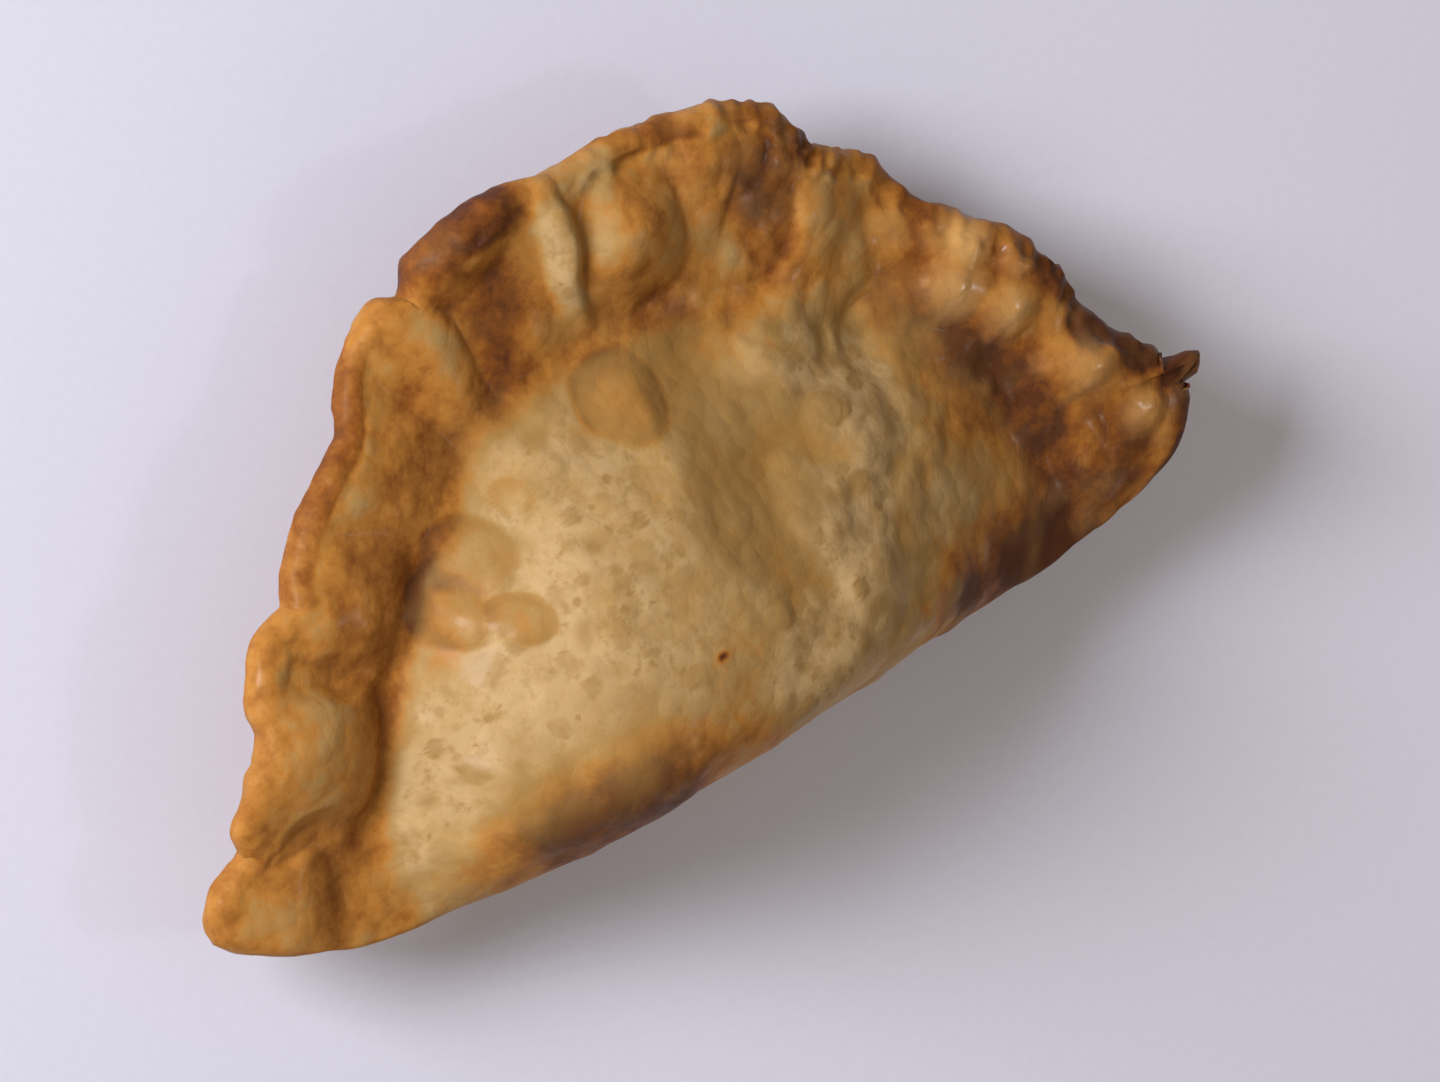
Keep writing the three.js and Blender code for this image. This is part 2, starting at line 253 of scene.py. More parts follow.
# Browned stretches of the edge: from and to along the arc, how far they reach in, and how dark they are
Scorch = namedtuple("Scorch", "start end reach amount")
EDGE_SCORCHES = (
    Scorch(112, 146, 0.8, 0.36),
    Scorch(92, 110, 3.4, 0.6),
    Scorch(30, 58, 0.5, 0.14),
    Scorch(56, 88, 0.9, 0.32),
    Scorch(4, 30, 2, 0.4),
    Scorch(-10, 20, 2.6, 0.5),
    Scorch(146, 190, 0.8, 0.06),
)

# Paler and browner strokes of the shown face, on the face's plane as the photograph's view sees them: partly
# the dough's own tone, partly painted shade in valleys, hollows and along the fold and painted light on
# shaded ridges and bumps. Both ends, half width and how much darker they are
Stroke = namedtuple("Stroke", "x y to_x to_y wide amount")
FACE_TONE_AND_SHADING_STROKES = (
    Stroke(-18.3, 51.2, -13.3, 42.9, 1.4, -0.15),
    Stroke(-22, 52, -20, 47, 2.4, 0.12),
    Stroke(-1.4, 54, -1.7, 45, 1.5, -0.46),
    Stroke(6.5, 57, 3.4, 49, 1.9, -0.36),
    Stroke(30, 42, 26, 34, 2.2, -0.06),
    Stroke(32, 35, 34, 34, 3, -0.1),
    Stroke(25, 30, 26, 18, 3.2, -0.28),
    Stroke(18, 14, 23, 3, 3.2, -0.4),
    Stroke(9, -1, 16, 0, 3.8, -0.5),
    Stroke(-9, 50, -11.5, 43.5, 3.2, 0.36),
    Stroke(-36, 27, -21, 41, 3, 0.13),
    Stroke(-33, 33, -36, 20, 2.4, 0.1),
    Stroke(-36, 20, -47, 5, 2.2, 0.04),
    Stroke(23, 48, 22, 41, 4, 0.4),
    Stroke(36, 31, 37, 25, 2.6, 0.16),
    Stroke(39, 18, 43, 14, 4.2, 0.36),
    Stroke(44, 4, 52, 3, 4.4, 0.24),
    Stroke(29, -1, 38, 1, 4, 0.56),
    Stroke(-21, 0, -9, -1, 4, 0.74),
    Stroke(-8, 0, 4, -2, 3.4, 0.04),
    Stroke(-28.5, 2, -26.5, 2, 2.4, 0.24),
    Stroke(18, 56, 20, 53, 2, -0.22),
    Stroke(39, 36, 38, 33, 2, 0.18),
    Stroke(-7, 42, -5, 39, 2.4, -0.12),
    Stroke(-53, 14, -47, 24, 3, 0.05),
    Stroke(-12, 39, 3, 41, 3, 0.06),
    Stroke(-44, 0, -40, 1, 4, -0.12),
    Stroke(-39, 16, -37, 12, 2, -0.1),
    Stroke(32, 31, 33, 27, 3.4, 0.24),
    Stroke(1.5, 6, 1.5, 6, 0.5, 0.95),
    Stroke(-18, 19.1, -18, 19.1, 0.9, 0.22),
    Stroke(2, 55, 1.5, 50, 1.2, -0.16),
    Stroke(15, 53, 16, 49, 2.6, 0.12),
    Stroke(17, 26, 17, 22, 2.6, 0.1),
    Stroke(6, 40, 11, 36, 3, 0.14),
    Stroke(-27.5, 28, -27, 21, 2.2, 0.2),
    Stroke(33, 22, 33, 14, 3.6, 0.12),
)

# Strokes where the face is tan rather than fried gold, partly tan flecks of the dough and partly painted
# shade on the belly's right and along the fold, given alike, with the share of tan
TAN_AND_SHADE_STROKES = (
    Stroke(7, 34, 10, 14, 4, 0.75),
    Stroke(15, 27, 16, 19, 3, 0.8),
    Stroke(7, 18, 2, 11, 2.2, 0.4),
    Stroke(-10.5, 34.7, -9.5, 34.7, 1, 0.6),
    Stroke(-4, 44, -2.5, 43.6, 1.4, 0.5),
    Stroke(-23.4, 6.4, -23, 5.8, 0.8, 0.7),
    Stroke(-35, 8.7, -34.2, 8.6, 0.8, 0.7),
    Stroke(-10.2, 10.4, -9.6, 10, 0.8, 0.6),
    Stroke(-8.3, 23.2, -7.8, 22.8, 0.9, 0.6),
    Stroke(2, 19.8, 3, 19.2, 1.2, 0.5),
    Stroke(-4.3, 18, -3.5, 17.5, 0.9, 0.5),
    Stroke(-41, 1.5, -38.6, 2.2, 1.3, 0.5),
    Stroke(-15, 27, -14, 25.5, 1, 0.5),
    Stroke(-12, 15.5, -11.4, 15.8, 0.8, 0.6),
    Stroke(33, 23, 33, 14, 4, 0.2),
    Stroke(-24, 4, -9, 4, 5, 0.6),
    Stroke(-17, 38, -11, 36, 3, 0.3),
    Stroke(30, 31, 33, 27, 3, 0.4),
)

# Blisters scattered over the skin: how many, radii, rise as a share of the radius, how strongly their skins
# show tan, how strongly their clear skins show gold, brightest at the top as a painted highlight, the x from
# which they are spread, and the share kept on the rim
BlisterKind = namedtuple("BlisterKind", "count small large low tall faint strong glow from_x on_rim")
BLISTER_KINDS = (
    BlisterKind(150, 1.1, 2.6, 0.06, 0.14, 0.4, 1.0, 0.0, -99, 0.3),
    BlisterKind(1300, 0.6, 1.5, 0.02, 0.06, 0.2, 1.0, 0.0, -99, 0.3),
    BlisterKind(150, 1.3, 3, 0.06, 0.14, 0.0, 0.2, 0.12, 8, 1),
)

# A scattered blister's tan ring, as shares of its radius, the least radius that has one, the tan inside it
# and how sharply that ends, and how alike the normals of a blister's points are
RING_AT = 0.75
RING_HALF = 0.25
RING_FROM = 1.1
SKIN_TONE = 0.75
SKIN_SHARP = 2.2
ALIKE = 0.3

# Soft noises: cells in millimetres, seed and size
Noise = namedtuple("Noise", "cell seed size")
STRAY_X = Noise(6, 41, 1)
STRAY_Y = Noise(6, 43, 1)
WANDER = (Noise(9, 3, 3), Noise(4, 5, 1.5))
FINE = Noise(2.2, 8, 1)
FINE_ACROSS = Noise(2.2, 9, 1)
PATCHES = (Noise(6, 21, 0.05), Noise(3.4, 23, 0.08), Noise(2.2, 8, 0.06))
TAN_UNEVEN = Noise(3.4, 25, 0.5)
TAN_FLECKS = Noise(3.4, 27, 1)
TAN_SPOTS = Noise(2.6, 29, 2)
PALE_SPOTS = Noise(2.6, 33, 2)
LUMPS = (Noise(7, 31, 0.3), Noise(3.2, 37, 0.1))
RIM_LUMPS = Noise(3.2, 37, 0.16)
RAGGED = Noise(1.3, 51, 1)
STREAKS = Noise(0.9, 61, 0.3)
BENT_BORDERS = Noise(1.3, 71, 0.16)

# Stretches over which a change comes in, along the measure that the name ends with: where each starts, its
# length, below 0 where it comes in backwards, and the share of the wander that bends it
Run = namedtuple("Run", "start length bend", defaults=(0,))
RIM_BY_RADIUS = Run(0.88, 0.08, 0.012)
ON_RIM_BY_INSET = Run(14, -6)
BLISTERS_BY_INSET = Run(6, 8)
PALE_BY_X = Run(4, -26, -2)
PALE_BY_HEIGHT = Run(-1, 7, 0.5)
HOLLOW_BY_INSET = Run(3, 5, 0.4)
HOLLOW_BY_DEGREES = Run(100, 20)
RIGHT_BY_X = Run(26, 14, 2)
CREST_BY_RISE = Run(0.8, 1.4, 0.2)
CREST_BY_INSET = Run(2, 4)
SHOWN_BY_SIDE = Run(-0.9, 1.5)
RING_BY_RADIUS = Run(0.35, 0.35)
DISC_BY_RADIUS = Run(1.1, -0.25)
BUBBLE_BY_RADIUS = Run(1, -0.9)
FOLD_BY_HEIGHT = Run(4, -14, -0.6)
FOLD_BY_X = Run(-44, 16)
SCRAP_BY_INSET = Run(1, -1)
PATCHES_BY_X = Run(-10, 30)
SPOTS_BY_X = Run(-4, 16)
SPOTS_END_BY_X = Run(22, 10)
RAGGED_FROM_DEGREES = Run(-4, 6)
RAGGED_TO_DEGREES = Run(186, -6)
RAGGED_BY_INSET = Run(2.25, -1.5)
RAGGED_BY_DEGREES = Run(95, -20)
OIL_BY_X = Run(18, 20)
OIL_BY_INSET = Run(0, 3)
OIL_BY_Y = Run(-2, 12)

# Browning, 0 pale to 1 dark: the plain gold, and what each place adds or takes. Some of it is painted light
# and shade: shade in the rim's left hollows and along the fold, light on the pale left of the belly, and a
# highlight on the pockets' crests
GOLDEN = 0.28
RIM_BROWN = 0.19
# Painted shade in the rim's left hollows behind the lip, together with their browning
HOLLOW_SHADE_AND_BROWN = 0.07
RIGHT_BROWN = 0.14
# The belly's own pale at the left, fading rightwards partly as painted shade where the belly turns from the
# key light
PALE_AND_PAINTED_LIGHT = 0.24
# Painted highlight on the pockets' crests
CREST_PAINTED_HIGHLIGHT = 0.04
# Painted shade where the fold turns under, together with its browning
FOLD_SHADE_AND_BROWN = 0.24
FOLD_LEFT = 0.5
SCRAP_BROWN = 0.55
SPOT_LIGHT = 0.22
PATCHY = 0.9

# How far noise moves the place at which a stroke is read, in millimetres and as a share of the wander
SEEN_FRAY = 0.7
SEEN_WANDER = 0.3

# How far the shown face's browning reaches round the fold, its share there, and how much higher the fold's
# band reaches on the back and on the shown face, in millimetres
FOLD_ROUND = 8
FOLD_KEPT = 0.9
BACK_BAND = 9
SHOWN_BAND = 3

# Scorches: degrees of their ends, share by which their reach frays, least reach, full share at the edge,
# degrees of a streak and the share without streaks
SCORCH_ENDS = 5
SCORCH_FRAY = 0.7
SCORCH_LEAST = 0.3
SCORCH_FULL = 1.2
STREAK_DEGREES = 5
STREAK_PLAIN = 0.8

# Discs of the larger blisters: fray of their border, strength of their middle, their browning and tan, fray
# of the tan, and the share of it that the rim hides. Bubbles: fray of their border and of their gold
DISC_FRAY = 0.1
DISC_MIDDLE = 0.7
DISC_BROWN = 0.85
DISC_TAN = 1.5
DISC_TAN_FRAY = 0.3
DISC_HIDDEN = 0.8
BUBBLE_FRAY = 0.12
BUBBLE_UNEVEN = 0.4

# Shares of tan in flecks, in spots and along the rim's border, that border's fray, and the most tan
FLECK_TAN = 0.2
SPOT_TAN = 0.8
BORDER_TAN = 1.2
BORDER_FRAY = 0.4
MOST_TAN = 0.8

# How ragged the edge is at the left and how much more at the right, in millimetres
RAGGED_LEFT = 0.2
RAGGED_MORE = 0.3

# Share of oil: all over, at the right end, on the rim, and what is left of it at the edge
OIL_PLAIN = 0.15
OIL_RIGHT = 0.5
OIL_RIM = 0.25
OIL_EDGE = 0.2

# Finish of the crust: the values of a pattern or of the browning between which something changes
NOISE_SPAN = (0.36, 0.64)
PEBBLE_SPAN = (0.2, 0.75)
PALE_SPAN = (0.1, 0.45)
CELL_SPAN = (0.45, 1.0)
PIT_SPAN = (0.0, 0.25)
STAIN_SPAN = (0.49, 0.62)
ROUGH_SPAN = (0.3, 0.7)
OIL_SPAN = (0.42, 0.62)

# The browning at which each colour of the dough stands, pale to dark
RAMP_PLACES = (0.02, 0.26, 0.5, 0.76, 1.0)

# How far mottles and grain shift the browning either way, the share of the pebbles' gaps, and the share of
# all three that is left on pale dough
MOTTLED = 0.07
SPECKLED = 0.05
PEBBLED = 0.09
CALMER = 0.9

# How far noise bends the pebbles and frays the small cells, in metres, and the range of the gaps' depth
PEBBLE_BEND = 0.0016
CELL_FRAY = 0.0015
GAP_DEPTHS = (-0.5, 0.5)

# The largest small cell, as a share of its stride, and the most tan of small cells and of stains
CELL_SIZE = 0.5
PIT_TAN = 0.75
STAIN_TAN = 0.6

# Roughness of the dough and how much smoother blisters and bubbles are, the coat of oil and of blisters,
# and the share of the grain in the bump
ROUGHNESS = (0.5, 0.68)
BLISTER_SMOOTH = 0.15
BUBBLE_SMOOTH = 0.5
OIL_COAT = (0.1, 0.5)
BLISTER_COAT = 0.08
GRAIN_HEIGHT = 0.6

# Lights: size, distance and direction from the pastry's middle
Lamp = namedtuple("Lamp", "name size distance toward")
KEY = Lamp("key", 0.32, 0.9, (-0.72, 0.55, 0.42))
FILL = Lamp("fill", 0.8, 1.0, (0.0, -0.92, 0.39))
GLINT = Lamp("glint", 0.12, 1.0, (0.47, -0.33, 0.82))

# Half the floor's side, in metres, and how dark its grain is
FLOOR_HALF = 4.0
FLOOR_GRAIN = 0.95


class SambusakShape(bpy.types.PropertyGroup):
    """Driving sizes of the half-moon, the same as the solid's."""

    length: FloatProperty(
        name="Length",
        description="Tip to tip, along the fold",
        default=0.120,
        unit="LENGTH",
    )
    depth: FloatProperty(
        name="Depth", description="From the fold to the top of the rim", default=0.0612, unit="LENGTH"
    )
    edge: FloatProperty(
        name="Edge", description="Thickness of the two pinched layers", default=0.0034, unit="LENGTH"
    )
    shown_belly: FloatProperty(
        name="Shown Belly", description="Rise of the belly over the seam", default=0.016, unit="LENGTH"
    )
    back_belly: FloatProperty(
        name="Back Belly",
        description="The same on the back, before it flattens",
        default=0.0125,
        unit="LENGTH",
    )
    flattened: FloatProperty(
        name="Flattened", description="How much the table presses flat", default=0.0032, unit="LENGTH"
    )
    rim_width: FloatProperty(name="Rim Width", description="The pinched band", default=0.012, unit="LENGTH")
    rim_softness: FloatProperty(
        name="Rim Softness",
        description="Share of the run over which the belly lifts off",
        default=0.16,
        subtype="FACTOR",
    )
    shown_nose: FloatProperty(
        name="Shown Nose",
        description="Length over which the belly climbs from the fold",
        default=0.008,
        unit="LENGTH",
    )
    back_nose: FloatProperty(
        name="Back Nose",
        description="The same on the back",
        default=0.022,
        unit="LENGTH",
    )
    fold_bow: FloatProperty(
        name="Fold Bow",
        description="How far the fold bows out",
        default=0.0022,
        unit="LENGTH",
    )
    tip_rise: FloatProperty(
        name="Tip Rise", description="Height of the tips over the fold", default=0.007, unit="LENGTH"
    )
    shoulder_pull: FloatProperty(
        name="Shoulder Pull",
        description="Share by which the shoulders are pulled in",
        default=0.11,
        subtype="FACTOR",
    )
    seam_wave: FloatProperty(
        name="Seam Wave", description="How far the rim waves up and down", default=0.0015, unit="LENGTH"
    )


class SambusakCrust(bpy.types.PropertyGroup):
    """Blisters and colours of the fried crust."""

    cells: IntProperty(name="Cells", description="Cells along each side of a sheet", default=216, min=40)
    edge_cells: IntProperty(name="Edge Cells", description="Cells round the edge", default=5, min=3)
    seed: IntProperty(name="Seed", description="Start of the random draws", default=11)
    pale: FloatVectorProperty(
        name="Pale", description="Palest dough of the belly", default=(0.45, 0.3, 0.143), subtype="COLOR"
    )
    gold: FloatVectorProperty(
        name="Gold", description="Golden dough", default=(0.388, 0.23, 0.082), subtype="COLOR"
    )
    amber: FloatVectorProperty(
        name="Amber", description="Golden-brown pockets", default=(0.4, 0.168, 0.031), subtype="COLOR"
    )
    brown: FloatVectorProperty(
        name="Brown", description="Browned crust", default=(0.225, 0.072, 0.011), subtype="COLOR"
    )
    dark: FloatVectorProperty(
        name="Dark", description="Darkest edge", default=(0.085, 0.023, 0.008), subtype="COLOR"
    )
    # Also the colour of the painted shade on the belly's right and along the fold
    tan: FloatVectorProperty(
        name="Tan",
        description="Thin skin of the small blisters",
        default=(0.28, 0.155, 0.045),
        subtype="COLOR",
    )
    # Brighter than any dough colour: partly a painted highlight on the bubbles' tops
    clear: FloatVectorProperty(
        name="Clear",
        description="Golden, clear skin of the bubbles",
        default=(0.58, 0.34, 0.125),
        subtype="COLOR",
    )


class SambusakStage(bpy.types.PropertyGroup):
    """Floor, light and camera."""

    floor: FloatVectorProperty(
        name="Floor", description="Pale floor", default=(0.755, 0.765, 0.945), subtype="COLOR"
    )
    key_power: FloatProperty(name="Key", description="Power of the key light", default=11.0, unit="POWER")
    fill_power: FloatProperty(name="Fill", description="Power of the fill light", default=1.0, unit="POWER")
    glint_power: FloatProperty(
        name="Glint",
        description="Power of the small light",
        default=0.5,
        unit="POWER",
    )
    sky: FloatVectorProperty(
        name="Sky", description="Colour of the room's light", default=(1.0, 0.87, 0.68), subtype="COLOR"
    )
    sky_strength: FloatProperty(
        name="Sky Strength",
        description="Brightness of the room's light",
        default=0.27,
    )
    distance: FloatProperty(name="Distance", description="Camera to pastry", default=1.2, unit="LENGTH")


def form_of(shape):
    """The named sizes in millimetres, and those that follow. The seam line lies inside the rounded edge."""
    names = [name for name in shape.bl_rna.properties.keys() if name not in ("rna_type", "name")]
    shares = ("rim_softness", "shoulder_pull")
    form = SimpleNamespace(**{n: getattr(shape, n) / (1 if n in shares else MM) for n in names})
    form.half_length = (form.length - form.edge) / 2
    form.arc_height = form.depth - form.edge / 2 * (1 + FOLD_BULGE) - form.fold_bow - form.tip_rise
    form.table = -(form.edge / 2 + form.back_belly - form.flattened)
    form.right_tip = arc_point(form, np.array(0.0))
    form.left_tip = arc_point(form, np.array(float(HALF_TURN)))
    form.back_pockets = back_pockets()
    return form


def smooth(t):
    """0 to 1 with level ends: 3 t squared less 2 t cubed, t held between 0 and 1."""
    t = np.clip(t, 0, 1)
    return t * t * (3 - 2 * t)


def eased(value, run, wander=0):
    """0 before a run's start and 1 past its end, smoothly, with its place bent by a share of the wander."""
    return smooth((value + run.bend * wander - run.start) / run.length)


def chance(k):
    """An even draw from 0 to 1 for each number: the fraction of a large sine."""
    wild = np.sin(k * CHANCE_STEP) * CHANCE_SCALE
    return wild - np.floor(wild)


def dome(r):
    """A round-topped bump: a power of 1 - r squared, and 0 from r = 1 outwards."""
    return np.clip(1 - r * r, 0, None) ** DOME_POWER


def lattice_noise(points, cell, seed):
    """Soft noise from -1 to 1: each corner of a lattice draws a number, and smooth weights blend them."""
    scaled = points / cell + LATTICE_SHIFT * seed
    corner = np.floor(scaled)
    weight = smooth(scaled - corner)
    total = np.zeros(len(points))
    for k in range(8):
        offset = np.array([k & 1, k >> 1 & 1, k >> 2 & 1])
        share = np.prod(np.where(offset, weight, 1 - weight), axis=1)
        total += share * chance((corner + offset) @ np.array(LATTICE_STRIDES) + seed)
    return 2 * total - 1


def soft_noise(points, *noises):
    """The sum of soft noises, each from minus its size to its size."""
    return sum(noise.size * lattice_noise(points, noise.cell, noise.seed) for noise in noises)


def back_pockets():
    """The back's pockets: one for each step along the arc, shifted and scaled by even draws."""
    k = np.arange(BACK_POCKETS)
    smallest, largest = BACK_SIZES
    size = smallest + (largest - smallest) * chance(2 * k)
    at = HALF_TURN * (k + (1 - BACK_STRAY) / 2 + BACK_STRAY * chance(2 * k + 1)) / BACK_POCKETS
    base = BACK_POCKET
    return [
        Pocket(a, base.inset, base.along * s, base.outer, base.inner * s, base.rise * s)
        for a, s in zip(at, size)
    ]


def edge_push(degrees, lobes):
    """How far the edge stands out of the plain half-moon: the lobes' domes summed, notches below 0."""
    push = np.zeros_like(degrees)
    for lobe in lobes:
        push = push + lobe.push * dome((degrees - lobe.at) / lobe.half)
    return push


def scrap_share(degrees, widths):
    """The scrap's dome along the arc, made wider by a number of its widths."""
    return dome((degrees - TIP_SCRAP.at) / (widths * TIP_SCRAP.half))


def arc_point(form, degrees, lobes=EDGE_LOBES):
    """The arc: a half ellipse whose shoulders are pulled in, from soon after the tips to short of the apex,
    pushed in and out along its radius by the lobes."""
    angle = np.radians(degrees)
    from_tip = HALF_TURN / 2 - np.abs(degrees - HALF_TURN / 2)
    shoulder = smooth(from_tip / TIP_TURN) * (1 - smooth((from_tip - APEX_FROM) / APEX_TURN))
    pull = 1 - form.shoulder_pull * shoulder
    x = form.half_length * np.cos(angle) * pull
    y = form.arc_height * np.sin(angle) * pull
    reach = np.hypot(x, y)
    grown = (reach + edge_push(degrees, lobes)) / reach
    return x * grown, form.tip_rise + y * grown


def fold_point(form, t):
    """The fold from tip to tip, t from -1 to 1: level in the middle, curling up to the tips."""
    tip_x = np.where(t < 0, form.left_tip[0], form.right_tip[0])
    tip_y = np.where(t < 0, form.left_tip[1], form.right_tip[1])
    curl = np.where(t < 0, FOLD_CURL_LEFT, FOLD_CURL_RIGHT)
    t = np.clip(np.abs(t), 0, 1)
    return t * tip_x, -form.fold_bow + (tip_y + form.fold_bow) * t**curl


def outline_point(form, turn, lobes=(*EDGE_LOBES, TIP_SCRAP)):
    """The outline for turns 0 to 4 round the square's sides: the fold on side 0, the arc on sides 1 to 3."""
    fold = fold_point(form, 2 * turn - 1)
    arc = arc_point(form, (turn - 1) * SIDE_TURN, lobes)
    return np.where(turn <= 1, fold[0], arc[0]), np.where(turn <= 1, fold[1], arc[1])


def turn_round(a, b):
    """How far round the square's sides the point (a, b) of its boundary lies, from 0 to 4."""
    sides = [b <= -1, a >= 1, b >= 1]
    turns = [(a + 1) / 2, 1 + (b + 1) / 2, 2 + (1 - a) / 2]
    return np.select(sides, turns, 3 + (1 - b) / 2)


def turned_degrees(y, x):
    """The angle of (x, y) in degrees, from -90 to 270, so that it runs on past the left tip."""
    degrees = np.degrees(np.arctan2(y, x))
    return np.where(degrees < -HALF_TURN / 2, degrees + 2 * HALF_TURN, degrees)


def rim_place(form, x, y):
    """Degrees along the arc that each point faces, the arc's reach there, and the inset from it."""
    degrees = turned_degrees((y - form.tip_rise) / form.arc_height, x / form.half_length)
    edge_x, edge_y = arc_point(form, degrees)
    reach = np.hypot(edge_x, edge_y - form.tip_rise)
    return SimpleNamespace(degrees=degrees, reach=reach, inset=reach - np.hypot(x, y - form.tip_rise))


def belly_radius(form, x, y):
    """How far out on the belly's oval a point lies, 1 where the belly ends: the oval's radius, over a reach
    that a dome pulls in round one shoulder."""
    half = form.half_length - form.rim_width - TIP_FLAT
    across = (x - BELLY_X) / (half - np.sign(x - BELLY_X) * BELLY_X)
    up = (y - form.tip_rise) / (form.arc_height - form.rim_width)
    pull = BELLY_PULL * dome((turned_degrees(up, across) - PULL_AT) / PULL_HALF)
    return np.hypot(across, up) / (1 - pull)


def fold_height(form, x):
    """Height of the fold on the face at each x."""
    tip_x = np.where(x < 0, form.left_tip[0], form.right_tip[0])
    return fold_point(form, np.sign(x) * np.abs(x / tip_x))[1]


def belly_share(form, x, y, nose_run):
    """The belly from 0 to 1: an oval dome that lifts softly off the rim, times a rounded nose at the fold."""
    climb = np.clip(1 - belly_radius(form, x, y), 0, 1)
    lifted = climb**2 * (1 + form.rim_softness) / (climb + form.rim_softness)
    nose = np.clip((y - fold_height(form, x)) / nose_run, 0, 1)
    return (1 - (1 - lifted) ** 2) * np.sqrt(1 - (1 - nose) ** 2)


def rim_bump(form, x, y, bump):
    """A dome that lies along the rim, at its angle on the arc and its inset from the edge."""
    edge_x, edge_y = arc_point(form, np.array(float(bump.at)))
    reach = np.hypot(edge_x, edge_y - form.tip_rise)
    out_x = edge_x / reach
    out_y = (edge_y - form.tip_rise) / reach
    dx = x - edge_x + bump.inset * out_x
    dy = y - edge_y + bump.inset * out_y
    along = (dx * out_y - dy * out_x) / bump.along
    across = dx * out_x + dy * out_y
    return dome(np.hypot(along, across / np.where(across > 0, bump.outer, bump.inner)))


def face_bump(x, y, bump):
    """A low cap on the face, of its own half sizes and rise: a power of 1 - r squared."""
    inside = np.clip(1 - ((x - bump.x) / bump.wide) ** 2 - ((y - bump.y) / bump.high) ** 2, 0, None)
    return bump.rise * inside**CAP_POWER


def blended(heights):
    """Several heights run together: the cube root of the sum of their cubes, near the tallest of them."""
    return np.cbrt(sum(height**3 for height in heights))


def shown_thickness(form, x, y, place):
    """Thickness over the seam: half the edge, the belly, the pockets run together and the blisters run
    together, less the pinches, which fade out at the edge, and the dent, and never below half the edge."""
    belly = form.shown_belly * belly_share(form, x, y, form.shown_nose)
    pocket = blended(p.rise * rim_bump(form, x, y, p) for p in SHOWN_POCKETS)
    pinch = blended(p.rise * rim_bump(form, x, y, p) for p in SHOWN_PINCHES)
    blister = blended(face_bump(x, y, b) for b in FACE_BLISTERS + BUBBLES)
    half = form.edge / 2
    pressed = pinch * smooth(place.inset / PINCH_FADE) + face_bump(x, y, BELLY_DENT)
    return np.maximum(half, half + belly + pocket + blister - pressed)


def back_thickness(form, x, y):
    """Thickness under the seam: half the edge, the belly and the pockets run together."""
    belly = form.back_belly * belly_share(form, x, y, form.back_nose)
    pocket = blended(p.rise * rim_bump(form, x, y, p) for p in form.back_pockets)
    return form.edge / 2 + belly + pocket


def seam_height(form, place):
    """Height of the seam: the rim's lift, less where the rim lies level, and its waves, sines of the angle.
    Both fade out towards the belly."""
    wave = sum(w.share * np.sin(np.radians(w.turns * place.degrees + w.start)) for w in RIM_WAVES)
    level = 1 - LEVEL_SHARE * dome((place.degrees - LEVEL_AT) / LEVEL_HALF)
    lift = RIM_LIFT * level * (1 - smooth(place.inset / (LIFT_RUN * form.rim_width)))
    return lift + form.seam_wave * wave * (1 - smooth(place.inset / (WAVE_RUN * form.rim_width)))


def sheet_points(form, a, b, stray):
    """Points (a, b) of the square carried to the half-moon, with the heights of both sheets there. The
    heights are read up to stray away, by soft noise that fades out at the fold."""
    ring = np.maximum(np.abs(a), np.abs(b))
    safe = np.where(ring > 0, ring, 1)
    turn = turn_round(a / safe, b / safe)
    plain_x, plain_y = outline_point(form, turn, EDGE_LOBES)
    edge_x, edge_y = outline_point(form, turn)
    spread = ring * (1 + SPREAD - SPREAD * ring)
    x = spread * plain_x + ring**SCRAP_FADE * (edge_x - plain_x)
    y = CENTRE_Y + spread * (plain_y - CENTRE_Y) + ring**SCRAP_FADE * (edge_y - plain_y)
    place = rim_place(form, x, y)
    seam = seam_height(form, place)
    flat = np.stack([x.ravel(), y.ravel(), np.zeros(x.size)], -1)
    stray = stray * smooth((y - fold_height(form, x)) / form.shown_nose)
    warp_x = x + stray * soft_noise(flat, STRAY_X).reshape(x.shape)
    warp_y = y + stray * soft_noise(flat, STRAY_Y).reshape(x.shape)
    thin = 1 - SCRAP_THIN * ring**SCRAP_FADE * scrap_share((turn - 1) * SIDE_TURN, 1)
    shown = seam + thin * shown_thickness(form, warp_x, warp_y, place)
    back = np.maximum(form.table, seam - thin * back_thickness(form, warp_x, warp_y))
    return x, y, shown, back, place, turn


def boundary_walk(cells):
    """Rows and columns of the grid's boundary, walked once round from its lower left corner."""
    step = np.arange(cells)
    top = np.full(cells, cells)
    zero = np.zeros(cells, int)
    columns = np.concatenate([step, top, cells - step, zero])
    rows = np.concatenate([zero, step, top, cells - step])
    return rows, columns


